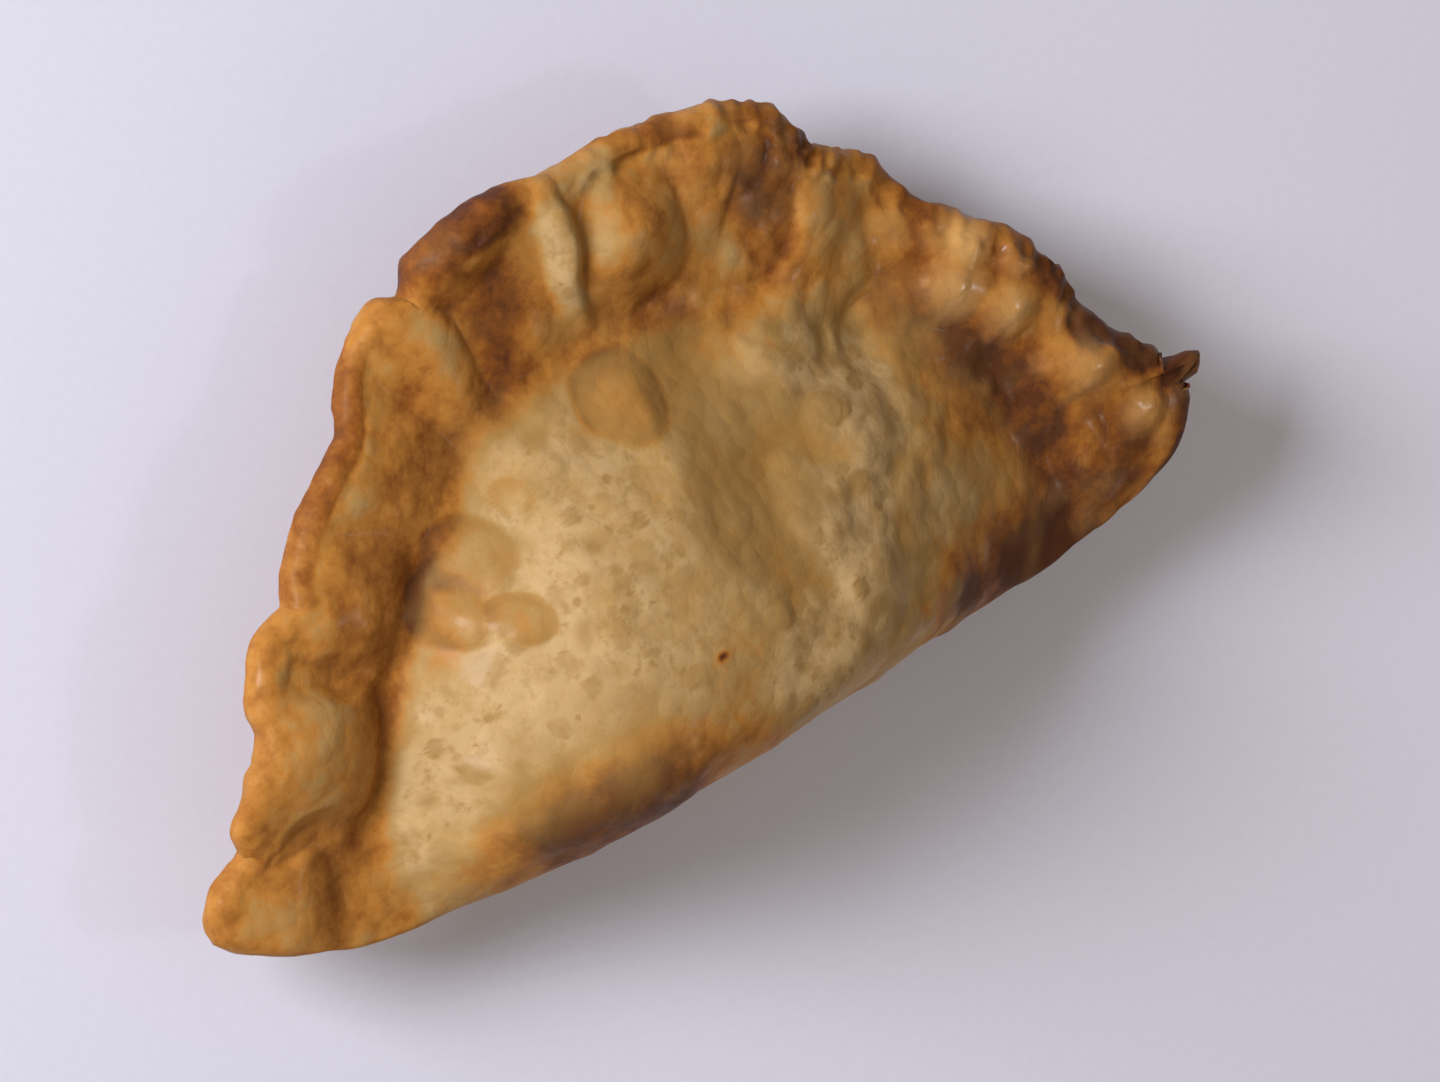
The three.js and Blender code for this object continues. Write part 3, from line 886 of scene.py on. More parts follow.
def pastry_skin(form, cells, edge_cells, stray):
    """The closed skin: both sheets on a grid of cells, and half turns round the edge between their
    boundaries.

    Returns the points in millimetres, the quads, and for each point its side (1 shown, -1 back, between on
    the edge), its angle along the rim and its inset."""
    line = np.linspace(-1, 1, cells + 1)
    a, b = np.meshgrid(line, line)
    x, y, shown, back, place, turn = sheet_points(form, a, b, stray)
    count = (cells + 1) ** 2
    rows, columns = boundary_walk(cells)
    walk = rows * (cells + 1) + columns

    # The edge's loops, standing out at right angles to the outline
    edge_turn = turn.ravel()[walk]
    before = outline_point(form, (edge_turn + 4 - OUTLINE_STEP) % 4)
    after = outline_point(form, (edge_turn + OUTLINE_STEP) % 4)
    step = np.hypot(after[0] - before[0], after[1] - before[1])
    out_x = (after[1] - before[1]) / step
    out_y = -(after[0] - before[0]) / step
    turns = np.linspace(-1, 1, edge_cells + 1)[1:-1, None] * np.pi / 2
    middle = (shown + back).ravel()[walk] / 2
    half = (shown - back).ravel()[walk] / 2
    to_tip = smooth((np.abs(2 * edge_turn - 1) - FOLD_END) / (1 - FOLD_END))
    kept = np.where(edge_turn < 1, FOLD_BULGE + (1 - FOLD_BULGE) * to_tip, 1)
    kept = kept * (1 - SCRAP_THIN * scrap_share((edge_turn - 1) * SIDE_TURN, SCRAP_ROOT))
    bulge = np.cos(turns) * form.edge / 2 * kept
    loops = np.stack(
        [x.ravel()[walk] + bulge * out_x, y.ravel()[walk] + bulge * out_y, middle + np.sin(turns) * half], -1
    )

    sheets = [np.stack([x.ravel(), y.ravel(), z.ravel()], -1) for z in (shown, back)]
    points = np.concatenate(sheets + [loops.reshape(-1, 3)])

    # Quads of the sheets, the back's turned over, then the bands between the loops
    grid = np.arange(count).reshape(cells + 1, cells + 1)
    quads = np.stack([grid[:-1, :-1], grid[:-1, 1:], grid[1:, 1:], grid[1:, :-1]], -1).reshape(-1, 4)
    rings = [walk + count]
    rings += list(2 * count + np.arange((edge_cells - 1) * len(walk)).reshape(edge_cells - 1, -1))
    rings += [walk]
    bands = [
        np.stack([low, np.roll(low, -1), np.roll(high, -1), high], -1) for low, high in zip(rings, rings[1:])
    ]
    faces = np.concatenate([quads, quads[:, ::-1] + count] + bands)

    loop_side = np.repeat(np.sin(turns.ravel()), len(walk))
    side = np.concatenate([np.ones(count), -np.ones(count), loop_side])
    degrees = place.degrees.ravel()
    inset = place.inset.ravel()
    around = np.tile(degrees[walk], edge_cells - 1)
    inner = np.concatenate([inset, inset, np.zeros(len(around))])
    degrees = np.concatenate([degrees, degrees, around])
    return points, faces, SimpleNamespace(side=side, degrees=degrees, inset=inner)


def face_shift(form):
    """From the face to the frame: the middle and bottom of the skin's box go to the node's."""
    points = pastry_skin(form, SOLID_CELLS, SOLID_EDGE_CELLS, 0)[0]
    low, high = points.min(axis=0), points.max(axis=0)
    node_low, node_high = (np.array(corner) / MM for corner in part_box(NODE))
    shift = (node_low + node_high - low - high) / 2
    shift[2] = node_low[2] - low[2]
    return shift


def point_normals(points, faces):
    """Outward unit normals: the cross products of the quads' diagonals, summed at their corners."""
    across = points[faces[:, 2]] - points[faces[:, 0]]
    up = points[faces[:, 3]] - points[faces[:, 1]]
    face_normals = np.cross(across, up)
    normals = np.zeros_like(points)
    for corner in range(4):
        np.add.at(normals, faces[:, corner], face_normals)
    return normals / np.maximum(np.linalg.norm(normals, axis=1, keepdims=True), TINY)


def point_areas(points, faces):
    """Each point's share of the skin: a quarter of each quad that meets it."""
    across = points[faces[:, 2]] - points[faces[:, 0]]
    up = points[faces[:, 3]] - points[faces[:, 1]]
    area = np.linalg.norm(np.cross(across, up), axis=1) / 8
    return np.bincount(faces.ravel(), np.repeat(area, 4), len(points))


def scatter_blisters(points, normals, areas, rim, seed):
    """Small blisters at seeded places, even by area and fewer on the rim: each is a low cap of its own
    radius, 1 - r squared, with a border bent by noise, and where they meet the tallest wins.

    Returns the rise at each point, how strongly tan skins show, faint inside and strong in a ring near the
    border, and how strongly clear skins show gold, most at the top of each cap as a painted highlight."""
    draws = np.random.default_rng(seed)
    rise = np.zeros(len(points))
    tone = np.zeros(len(points))
    glow = np.zeros(len(points))
    off_rim = eased(rim.inset, BLISTERS_BY_INSET)
    bent = soft_noise(points, BENT_BORDERS)
    order = np.argsort(points[:, 0])
    sorted_x = points[order, 0]
    for kind in BLISTER_KINDS:
        share = areas * (kind.on_rim + (1 - kind.on_rim) * off_rim) * (points[:, 0] > kind.from_x)
        centres = draws.choice(len(points), kind.count, p=share / share.sum())
        radii = kind.small + (kind.large - kind.small) * draws.random(kind.count) ** 2
        heights = draws.uniform(kind.low, kind.tall, kind.count) * radii
        tones = draws.uniform(kind.faint, kind.strong, kind.count)
        for centre, radius, height, darker in zip(centres, radii, heights, tones):
            at = points[centre]
            first, last = np.searchsorted(sorted_x, (at[0] - radius, at[0] + radius))
            near = order[first:last]
            near = near[np.abs(points[near, 1] - at[1]) < radius]
            near = near[normals[near] @ normals[centre] > ALIKE]
            apart = np.linalg.norm(points[near] - at, axis=1) / radius + bent[near]
            cap = np.clip(1 - apart**2, 0, None)
            ring = smooth(1 - np.abs(apart - RING_AT) / RING_HALF) * (radius > RING_FROM)
            skin = SKIN_TONE * smooth(SKIN_SHARP * (1 - apart))
            rise[near] = np.maximum(rise[near], height * cap)
            tone[near] = np.maximum(tone[near], darker * np.maximum(skin, ring))
            glow[near] = np.maximum(glow[near], kind.glow * cap)
    return rise, tone, glow


def crust_lumps(points, rim):
    """Unevenness of the crust in millimetres: lumps of two sizes, the smaller ones taller on the rim, and a
    ragged edge along the arc, more ragged at the right."""
    lumps = soft_noise(points, *LUMPS) + eased(rim.inset, ON_RIM_BY_INSET) * soft_noise(points, RIM_LUMPS)
    along_arc = eased(rim.degrees, RAGGED_FROM_DEGREES) * eased(rim.degrees, RAGGED_TO_DEGREES)
    depth = RAGGED_LEFT + RAGGED_MORE * eased(rim.degrees, RAGGED_BY_DEGREES)
    return lumps + along_arc * eased(rim.inset, RAGGED_BY_INSET) * depth * soft_noise(points, RAGGED)


def oil_share(points, rim):
    """Share of oil: some all over, more at the right and on the rim, less at the edge, none at the fold."""
    oil = OIL_PLAIN + OIL_RIGHT * eased(points[:, 0], OIL_BY_X) + OIL_RIM * eased(rim.inset, ON_RIM_BY_INSET)
    return oil * (OIL_EDGE + (1 - OIL_EDGE) * eased(rim.inset, OIL_BY_INSET)) * eased(points[:, 1], OIL_BY_Y)


def creases_of(points, normals, cells, rounds):
    """How deep each point of the two sheets lies below the mean of its surroundings, in millimetres: the
    sheets are averaged with their neighbours a number of times, and the gap is taken along the normal."""
    size = cells + 1
    gaps = np.zeros(len(points))
    for first in (0, size * size):
        part = slice(first, first + size * size)
        soft = points[part].reshape(size, size, 3).copy()
        for _ in range(rounds):
            middle = soft[:-2, 1:-1] + soft[2:, 1:-1] + soft[1:-1, :-2] + soft[1:-1, 2:]
            soft[1:-1, 1:-1] = middle / 4
        gaps[part] = np.sum((soft.reshape(-1, 3) - points[part]) * normals[part], axis=1)
    return gaps


def painted_crease_shade(points, normals, cells):
    """How much browner each crease is painted as shade and how much paler each crest is painted as a
    highlight: each share of their depth, held between its limit and half of that the other way, summed."""
    brown = np.zeros(len(points))
    for tone in PAINTED_CREASE_SHADES:
        depth = creases_of(points, normals, cells, tone.rounds)
        brown += np.clip(tone.share * depth, -tone.limit / 2, tone.limit)
    return brown


def stroke_share(x, y, stroke):
    """Nearness to a straight stroke: 1 on it, half at its half width, falling smoothly to 0 at twice that."""
    run_x = stroke.to_x - stroke.x
    run_y = stroke.to_y - stroke.y
    along = ((x - stroke.x) * run_x + (y - stroke.y) * run_y) / max(run_x**2 + run_y**2, TINY)
    along = np.clip(along, 0, 1)
    apart = np.hypot(x - stroke.x - along * run_x, y - stroke.y - along * run_y)
    return smooth(1 - apart / (2 * stroke.wide))


def skin_spots(points, rim, form):
    """What the browning reads at each point: its place on the face, the place at which the view sees it,
    moved along the view by its height, noise that bends borders, the share of rim there, its height over
    the fold, and how much of the shown face's browning reaches it, also round the fold."""
    x, y, z = points.T
    wander = soft_noise(points, *WANDER)
    fine = soft_noise(points, FINE)
    lean_x, lean_y, upright = VIEW_BACK
    over_fold = y - fold_height(form, x)
    round_fold = smooth(1 - over_fold / (FOLD_ROUND + wander))
    return SimpleNamespace(
        points=points,
        x=x,
        y=y,
        wander=wander,
        fine=fine,
        seen_x=x - z * lean_x / upright + SEEN_FRAY * fine + SEEN_WANDER * wander,
        seen_y=y - z * lean_y / upright + SEEN_FRAY * soft_noise(points, FINE_ACROSS),
        rimward=eased(belly_radius(form, x, y), RIM_BY_RADIUS, wander),
        over_fold=over_fold,
        shown=np.maximum(eased(rim.side, SHOWN_BY_SIDE), FOLD_KEPT * round_fold),
    )


def region_browning(spot, rim, form):
    """Gold: browner on the rim and at the right, browner still in its left hollows as painted shade behind
    the lip, paler at the left as the dough's own pale and as painted light fading across the belly, and paler
    on crests as a painted highlight.
    """
    pale = eased(spot.x, PALE_BY_X, spot.wander) * eased(spot.seen_y, PALE_BY_HEIGHT, spot.wander)
    hollow = eased(rim.inset, HOLLOW_BY_INSET, spot.wander) * eased(rim.degrees, HOLLOW_BY_DEGREES)
    rise = blended(pocket.rise * rim_bump(form, spot.x, spot.y, pocket) for pocket in SHOWN_POCKETS)
    crest = (rim.side > 0) * eased(rise, CREST_BY_RISE, spot.wander) * eased(rim.inset, CREST_BY_INSET)
    brown = GOLDEN + (RIM_BROWN + HOLLOW_SHADE_AND_BROWN * hollow) * spot.rimward
    brown += RIGHT_BROWN * eased(spot.x, RIGHT_BY_X, spot.wander)
    return brown - PALE_AND_PAINTED_LIGHT * pale * (1 - spot.rimward) - CREST_PAINTED_HIGHLIGHT * crest


def scorch_browning(spot, rim):
    """Scorched stretches of the edge: each fades at its ends and inwards, over a reach that noise frays, and
    streaks run in from the edge."""
    rim_run = np.stack([rim.degrees / STREAK_DEGREES, rim.inset, 0 * rim.inset], -1)
    brown = 0 * spot.x
    for scorch in EDGE_SCORCHES:
        from_start = smooth((rim.degrees - scorch.start) / SCORCH_ENDS)
        to_end = smooth((scorch.end - rim.degrees) / SCORCH_ENDS)
        reach = np.maximum(scorch.reach * (1 + SCORCH_FRAY * spot.fine), SCORCH_LEAST)
        brown += scorch.amount * from_start * to_end * smooth(SCORCH_FULL - rim.inset / reach)
    return brown * (STREAK_PLAIN + soft_noise(rim_run, STREAKS))


def strokes_on(spot, strokes):
    """The strokes' amounts by the nearness of the place seen, summed, where the shown browning reaches."""
    return spot.shown * sum(s.amount * stroke_share(spot.seen_x, spot.seen_y, s) for s in strokes)


def bump_apart(spot, bump, fray):
    """Distance from a bump's middle in its own half sizes, 1 at its border, frayed by noise."""
    return np.hypot((spot.x - bump.x) / bump.wide, (spot.y - bump.y) / bump.high) + fray * spot.fine


def disc_browning(spot):
    """Browning and tan of the larger blisters: discs, stronger in a ring near their borders."""
    brown = 0 * spot.x
    tan = 0 * spot.x
    for blister in FACE_BLISTERS:
        apart = bump_apart(spot, blister, DISC_FRAY)
        ringed = DISC_MIDDLE + (1 - DISC_MIDDLE) * eased(apart, RING_BY_RADIUS)
        disc = spot.shown * blister.browner * ringed * eased(apart, DISC_BY_RADIUS)
        brown += np.where(disc < 0, 1, DISC_BROWN) * disc
        tan = np.maximum(tan, DISC_TAN * disc)
    return brown, tan


def fold_shade_and_browning(spot):
    """A browner band along the fold, partly its browning and partly painted shade where the fold turns under,
    by the height seen on the shown face and the height over the fold on the back, weaker at the left."""
    from_fold = spot.over_fold - BACK_BAND
    line = from_fold + spot.shown * (spot.seen_y - SHOWN_BAND - from_fold)
    strength = FOLD_LEFT + (1 - FOLD_LEFT) * eased(spot.x, FOLD_BY_X)
    return FOLD_SHADE_AND_BROWN * eased(line, FOLD_BY_HEIGHT, spot.wander) * strength


def tan_and_shade_of(spot, discs, right):
    """Share of tan: strokes of uneven strength, partly painted shade, and flecks, or the discs where they are
    stronger, a band along the rim's border, and spots on the belly's right."""
    strokes = strokes_on(spot, TAN_AND_SHADE_STROKES) * (1 + soft_noise(spot.points, TAN_UNEVEN))
    flecks = FLECK_TAN * smooth(soft_noise(spot.points, TAN_FLECKS))
    discs = discs * (1 - DISC_HIDDEN * spot.rimward) * (1 + DISC_TAN_FRAY * spot.fine)
    border = spot.shown * spot.rimward * (1 - spot.rimward) * (1 + BORDER_FRAY * spot.fine)
    spots = right * smooth(soft_noise(spot.points, TAN_SPOTS))
    return np.clip(np.maximum(strokes + flecks, discs) + BORDER_TAN * border + SPOT_TAN * spots, 0, MOST_TAN)


def bubble_highlight(spot):
    """How strongly the bubbles' gold shows, partly a painted highlight on their tops: most in their middles,
    fading to their borders.
    """
    gold = 0 * spot.x
    for bubble in BUBBLES:
        fade = eased(bump_apart(spot, bubble, BUBBLE_FRAY), BUBBLE_BY_RADIUS)
        gold = np.maximum(gold, spot.shown * bubble.glow * (1 + BUBBLE_UNEVEN * spot.fine) * fade)
    return gold


def browning_of(points, rim, form, shaded_creases):
    """How far each point is fried, 0 pale to 1 dark, with painted shade and light in it: the sum of regions,
    scorches, strokes, discs, fold, scrap, patches and the painted shade and highlight of each crease and
    crest, less pale spots on the belly's right. Regions, strokes and the fold band carry painted shade and
    light in part.

    Returns that, the share of tan, partly painted shade, and how strongly the bubbles' gold shows, partly a
    painted highlight."""
    spot = skin_spots(points, rim, form)
    disc_brown, disc_tan = disc_browning(spot)
    right = spot.shown * (1 - spot.rimward) * eased(spot.x, SPOTS_BY_X) * (1 - eased(spot.x, SPOTS_END_BY_X))
    scrap = scrap_share(rim.degrees, SCRAP_TONE) * eased(rim.inset, SCRAP_BY_INSET)
    patchy = PATCHY * (1 + eased(spot.x, PATCHES_BY_X))
    brown = region_browning(spot, rim, form) + scorch_browning(spot, rim) + strokes_on(spot, FACE_TONE_AND_SHADING_STROKES)
    brown += disc_brown + fold_shade_and_browning(spot) + SCRAP_BROWN * scrap + patchy * soft_noise(points, *PATCHES)
    brown -= SPOT_LIGHT * right * smooth(soft_noise(points, PALE_SPOTS))
    return brown + shaded_creases, tan_and_shade_of(spot, disc_tan, right), bubble_highlight(spot)


def new_mesh_object(name, points, faces):
    """A smooth mesh object at the origin, with its place in its points, in metres."""
    mesh = bpy.data.meshes.new(name)
    mesh.from_pydata(points, [], faces)
    mesh.shade_smooth()
    mesh.update()
    made = bpy.data.objects.new(name, mesh)
    bpy.context.scene.collection.objects.link(made)
    return made


def keep_values(made, **values):
    """Stores arrays of one number for each point as the mesh's attributes."""
    for name, array in values.items():
        layer = made.data.attributes.new(name, "FLOAT", "POINT")
        layer.data.foreach_set("value", np.ascontiguousarray(array, np.float32))


def place_node(tree, kind, **sockets):
    """A node of a tree with its inputs set by name."""
    node = tree.nodes.new(kind)
    for name, value in sockets.items():
        node.inputs[name].default_value = value
    return node


def link(tree, source, target):
    """Joins an output to an input."""
    tree.links.new(source, target)


def feed(tree, socket, value):
    """Sets an input to an output, a plain number or a plain colour."""
    if isinstance(value, bpy.types.NodeSocket):
        link(tree, value, socket)
    else:
        socket.default_value = value


def math_node(tree, operation, first, second):
    """A Math node on outputs or plain numbers."""
    node = tree.nodes.new("ShaderNodeMath")
    node.operation = operation
    feed(tree, node.inputs[0], first)
    feed(tree, node.inputs[1], second)
    return node.outputs[0]


def range_node(tree, value, span, to_span):
    """A clamped straight map of one span to another."""
    node = tree.nodes.new("ShaderNodeMapRange")
    link(tree, value, node.inputs["Value"])
    for name, number in zip(("From Min", "From Max", "To Min", "To Max"), (*span, *to_span)):
        node.inputs[name].default_value = number
    return node.outputs["Result"]


def pattern_node(tree, kind, place, **sockets):
    """A texture node at a place, with its inputs set by name."""
    node = place_node(tree, kind, **sockets)
    link(tree, place, node.inputs["Vector"])
    return node


def bent_place(tree, place, noise, reach):
    """A place moved by a noise's colour, times a reach in metres."""
    node = tree.nodes.new("ShaderNodeVectorMath")
    node.operation = "MULTIPLY_ADD"
    node.inputs[1].default_value = (reach, reach, reach)
    link(tree, noise.outputs["Color"], node.inputs[0])
    link(tree, place, node.inputs[2])
    return node.outputs["Vector"]


def mix_colours(tree, share, first, second):
    """A colour mix of two outputs or plain colours."""
    node = tree.nodes.new("ShaderNodeMix")
    node.data_type = "RGBA"
    link(tree, share, node.inputs["Factor"])
    feed(tree, node.inputs[6], first)
    feed(tree, node.inputs[7], second)
    return node.outputs[2]


def solid(colour):
    """A colour with full alpha."""
    return (*colour, 1)


def attribute_value(tree, name):
    """The output of a point attribute."""
    node = tree.nodes.new("ShaderNodeAttribute")
    node.attribute_name = name
    return node.outputs["Fac"]


def browning_ramp(tree, fried, crust):
    """The dough's colours in the order in which it browns."""
    ramp = tree.nodes.new("ShaderNodeValToRGB")
    colours = (crust.pale, crust.gold, crust.amber, crust.brown, crust.dark)
    elements = ramp.color_ramp.elements
    while len(elements) < len(colours):
        elements.new(RAMP_PLACES[2])
    for element, place, colour in zip(elements, RAMP_PLACES, colours):
        element.position = place
        element.color = solid(colour)
    link(tree, fried, ramp.inputs["Fac"])
    return ramp.outputs["Color"]


def fried_crust(crust):
    """Fried dough: the browning, which holds painted shade and light as well, made uneven by mottles, grain
    and pebbles, runs through a ramp from pale to dark. Blisters, small cells and stains mix tan into its
    paler parts, the strokes' tan, partly painted shade, is mixed in too, and bubbles mix in clear gold that
    is partly a painted highlight on their tops. Oil coats it in patches, blisters and bubbles are smoother,
    and the grain and the gaps of the pebbles give a fine bump."""
    material = bpy.data.materials.new("fried_crust")
    material.use_nodes = True
    tree = material.node_tree
    shader = tree.nodes["Principled BSDF"]
    place = tree.nodes.new("ShaderNodeTexCoord").outputs["Object"]
    browning = attribute_value(tree, "browning")
    blister = attribute_value(tree, "blister")
    glow = attribute_value(tree, "glow")

    mottle = pattern_node(tree, "ShaderNodeTexNoise", place, Scale=260.0, Detail=4.0, Roughness=0.6)
    grain = pattern_node(tree, "ShaderNodeTexNoise", place, Scale=1100.0, Detail=3.0, Roughness=0.6)
    stains = pattern_node(tree, "ShaderNodeTexNoise", place, Scale=420.0, Detail=6.0, Roughness=0.72)
    frayed = bent_place(tree, place, grain, CELL_FRAY)
    cells = pattern_node(tree, "ShaderNodeTexVoronoi", frayed, Scale=620.0, Randomness=1.0)
    bent = bent_place(tree, place, mottle, PEBBLE_BEND)
    pebbles = pattern_node(tree, "ShaderNodeTexVoronoi", bent, Scale=430.0, Randomness=1.0)
    gaps = range_node(tree, pebbles.outputs["Distance"], PEBBLE_SPAN, GAP_DEPTHS)

    # The browning with its unevenness, a little calmer where the dough is pale
    shift = range_node(tree, mottle.outputs["Fac"], NOISE_SPAN, (-MOTTLED, MOTTLED))
    speckle = range_node(tree, grain.outputs["Fac"], NOISE_SPAN, (-SPECKLED, SPECKLED))
    unevenness = math_node(tree, "ADD", shift, speckle)
    unevenness = math_node(tree, "ADD", unevenness, math_node(tree, "MULTIPLY", gaps, PEBBLED))
    calm = range_node(tree, browning, PALE_SPAN, (CALMER, 1.0))
    fried = math_node(tree, "ADD", browning, math_node(tree, "MULTIPLY", unevenness, calm))

    # Tan of blisters, of stains and of small cells, each cell with its own size
    own = tree.nodes.new("ShaderNodeSeparateColor")
    link(tree, cells.outputs["Color"], own.inputs["Color"])
    size = range_node(tree, own.outputs["Red"], CELL_SPAN, (0.0, CELL_SIZE))
    within = math_node(tree, "SUBTRACT", size, cells.outputs["Distance"])
    pit = range_node(tree, within, PIT_SPAN, (0.0, PIT_TAN))
    stain = range_node(tree, stains.outputs["Fac"], STAIN_SPAN, (0.0, STAIN_TAN))
    thin = math_node(tree, "MAXIMUM", math_node(tree, "MAXIMUM", pit, stain), blister)
    on_pale = math_node(tree, "MULTIPLY", thin, range_node(tree, fried, PALE_SPAN, (1.0, 0.0)))
    # Also the strokes' tan from the point attribute, partly painted shade
    tanned = math_node(tree, "MAXIMUM", on_pale, attribute_value(tree, "tanned"))
    skin = mix_colours(tree, tanned, browning_ramp(tree, fried, crust), solid(crust.tan))
    # The bubbles' clear gold, brighter than the dough, partly a painted highlight on their tops
    link(tree, mix_colours(tree, glow, skin, solid(crust.clear)), shader.inputs["Base Color"])

    # Roughness and oil
    rough = range_node(tree, mottle.outputs["Fac"], ROUGH_SPAN, ROUGHNESS)
    rough = math_node(tree, "SUBTRACT", rough, math_node(tree, "MULTIPLY", blister, BLISTER_SMOOTH))
    rough = math_node(tree, "SUBTRACT", rough, math_node(tree, "MULTIPLY", glow, BUBBLE_SMOOTH))
    link(tree, rough, shader.inputs["Roughness"])
    patches = range_node(tree, mottle.outputs["Fac"], OIL_SPAN, OIL_COAT)
    oil = math_node(tree, "MULTIPLY", patches, attribute_value(tree, "oil"))
    glossy = math_node(tree, "ADD", math_node(tree, "MULTIPLY", blister, BLISTER_COAT), glow)
    link(tree, math_node(tree, "ADD", oil, glossy), shader.inputs["Coat Weight"])
    shader.inputs["Coat Roughness"].default_value = 0.2
    shader.inputs["Specular IOR Level"].default_value = 0.2
    shader.inputs["Specular Tint"].default_value = (1.0, 0.84, 0.6, 1.0)
    shader.inputs["Subsurface Weight"].default_value = 0.25
    shader.inputs["Subsurface Radius"].default_value = (1.0, 0.5, 0.2)
    shader.inputs["Subsurface Scale"].default_value = 0.002

    bump = place_node(tree, "ShaderNodeBump", Strength=0.32, Distance=0.0003)
    raised = math_node(tree, "MULTIPLY", grain.outputs["Fac"], GRAIN_HEIGHT)
    link(tree, math_node(tree, "SUBTRACT", raised, gaps), bump.inputs["Height"])
    link(tree, bump.outputs["Normal"], shader.inputs["Normal"])
    return material


def pale_floor(stage):
    """A matt, pale ground with a faint grain."""
    material = bpy.data.materials.new("pale_floor")
    material.use_nodes = True
    tree = material.node_tree
    shader = tree.nodes["Principled BSDF"]
    place = tree.nodes.new("ShaderNodeTexCoord").outputs["Object"]
    grain = pattern_node(tree, "ShaderNodeTexNoise", place, Scale=900.0, Detail=2.0)
    darker = solid(FLOOR_GRAIN * c for c in stage.floor)
    colour = mix_colours(tree, grain.outputs["Fac"], darker, solid(stage.floor))
    link(tree, colour, shader.inputs["Base Color"])
    shader.inputs["Roughness"].default_value = 0.8
    return material


class SAMBUSAK_OT_fry(bpy.types.Operator):
    """Makes the pastry's skin, its browning and its material, and puts it in the place of its solid"""

    bl_idname = "sambusak.fry"
    bl_label = "Fry the Sambusak"

    def execute(self, context):
        crust = context.scene.sambusak_crust
        form = form_of(context.scene.sambusak_shape)
        base, faces, rim = pastry_skin(form, crust.cells, crust.edge_cells, STRAY)
        normals = point_normals(base, faces)
        areas = point_areas(base, faces)
        rise, blister, glow = scatter_blisters(base, normals, areas, rim, crust.seed)
        points = base + normals * (rise + crust_lumps(base, rim))[:, None]
        points[:, 2] = np.maximum(points[:, 2], form.table)
        # Painted shade in each crease and a painted highlight on each crest
        shaded_creases = painted_crease_shade(points, normals, crust.cells)
        brown, tanned, gold = browning_of(base, rim, form, shaded_creases)

        made = new_mesh_object("pastry", (points + face_shift(form)) * MM, faces)
        oil = oil_share(points, rim)
        # Clear gold of the bubbles and of the small blisters' tops, partly a painted highlight
        clear = np.maximum(glow, gold)
        # The browning holds painted shade and light too, and the tan share painted shade
        keep_values(made, browning=brown, blister=blister, oil=oil, tanned=tanned, glow=clear)
        made.data.materials.append(fried_crust(crust))
        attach(made, "root")
        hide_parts(NODE)
        return {"FINISHED"}


def area_light(lamp, power, target):
    """A soft square light, standing off the target in its direction and turned to it."""
    data = bpy.data.lights.new(lamp.name, "AREA")
    data.energy = power
    data.size = lamp.size
    spot = target + lamp.distance * Vector(lamp.toward)
    made = bpy.data.objects.new(lamp.name, data)
    made.location = spot
    made.rotation_euler = (target - spot).to_track_quat("-Z", "Y").to_euler()
    bpy.context.scene.collection.objects.link(made)
    return made


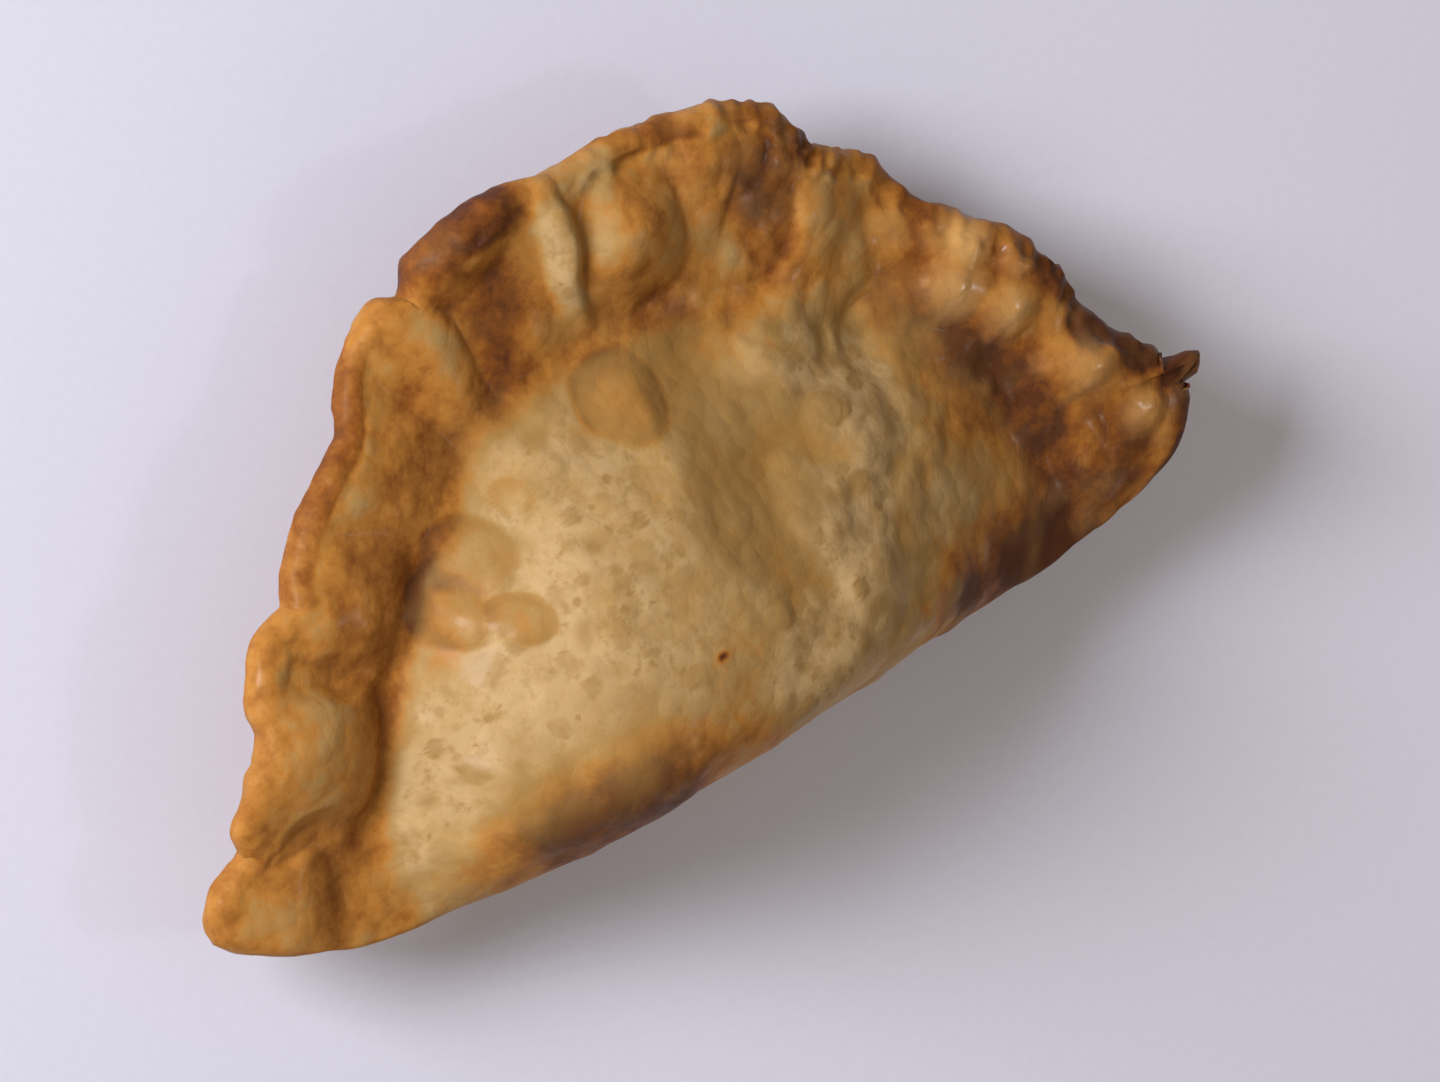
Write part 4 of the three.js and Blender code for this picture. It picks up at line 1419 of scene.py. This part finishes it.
class SAMBUSAK_OT_stage(bpy.types.Operator):
    """Lays the pale floor and sets the lights and the camera"""

    bl_idname = "sambusak.stage"
    bl_label = "Set the Stage"

    def execute(self, context):
        scene = context.scene
        stage = scene.sambusak_stage
        half = FLOOR_HALF
        corners = [(-half, -half, 0), (half, -half, 0), (half, half, 0), (-half, half, 0)]
        floor = new_mesh_object("floor", corners, [(0, 1, 2, 3)])
        floor.data.materials.append(pale_floor(stage))

        low, high = (Vector(corner) for corner in CAD_BOX)
        middle = (low + high) / 2
        area_light(KEY, stage.key_power, middle)
        fill = area_light(FILL, stage.fill_power, middle)
        fill.data.color = stage.sky
        area_light(GLINT, stage.glint_power, middle)

        world = bpy.data.worlds.new("room")
        world.use_nodes = True
        background = world.node_tree.nodes["Background"]
        background.inputs["Color"].default_value = solid(stage.sky)
        background.inputs["Strength"].default_value = stage.sky_strength
        scene.world = world

        form = form_of(scene.sambusak_shape)
        back = Vector(VIEW_BACK).normalized()
        right = Vector(VIEW_UP).cross(back).normalized()
        up = back.cross(right)
        aim = Vector((np.array([*AIM_ON_FACE, 0]) + face_shift(form)) * MM)
        lens = bpy.data.cameras.new("camera")
        lens.lens = lens.sensor_width * stage.distance / FRAME_WIDTH
        camera = bpy.data.objects.new("camera", lens)
        turn = Matrix((right, up, back)).transposed().to_4x4()
        camera.matrix_world = Matrix.Translation(aim + stage.distance * back) @ turn
        scene.collection.objects.link(camera)
        scene.camera = camera
        scene.view_settings.view_transform = "Standard"
        return {"FINISHED"}


class SAMBUSAK_PT_panel(bpy.types.Panel):
    """Lists the pastry's settings and operators"""

    bl_idname = "SAMBUSAK_PT_panel"
    bl_label = "Sambusak"
    bl_space_type = "VIEW_3D"
    bl_region_type = "UI"
    bl_category = "Sambusak"

    def draw(self, context):
        scene = context.scene
        for group in (scene.sambusak_shape, scene.sambusak_crust, scene.sambusak_stage):
            column = self.layout.column()
            for name in group.bl_rna.properties.keys():
                if name not in ("rna_type", "name"):
                    column.prop(group, name)
        self.layout.operator(SAMBUSAK_OT_fry.bl_idname)
        self.layout.operator(SAMBUSAK_OT_stage.bl_idname)


CLASSES = (
    SambusakShape,
    SambusakCrust,
    SambusakStage,
    SAMBUSAK_OT_fry,
    SAMBUSAK_OT_stage,
    SAMBUSAK_PT_panel,
)


def register():
    """Registers the classes and hangs the settings on the scene."""
    for entry in CLASSES:
        bpy.utils.register_class(entry)
    bpy.types.Scene.sambusak_shape = PointerProperty(type=SambusakShape)
    bpy.types.Scene.sambusak_crust = PointerProperty(type=SambusakCrust)
    bpy.types.Scene.sambusak_stage = PointerProperty(type=SambusakStage)


def unregister():
    """Takes the settings and the classes away again."""
    del bpy.types.Scene.sambusak_shape
    del bpy.types.Scene.sambusak_crust
    del bpy.types.Scene.sambusak_stage
    for entry in reversed(CLASSES):
        bpy.utils.unregister_class(entry)


def main():
    """Makes the stage and the pastry."""
    register()
    bpy.ops.sambusak.stage()
    bpy.ops.sambusak.fry()


if __name__ == "__main__":
    main()
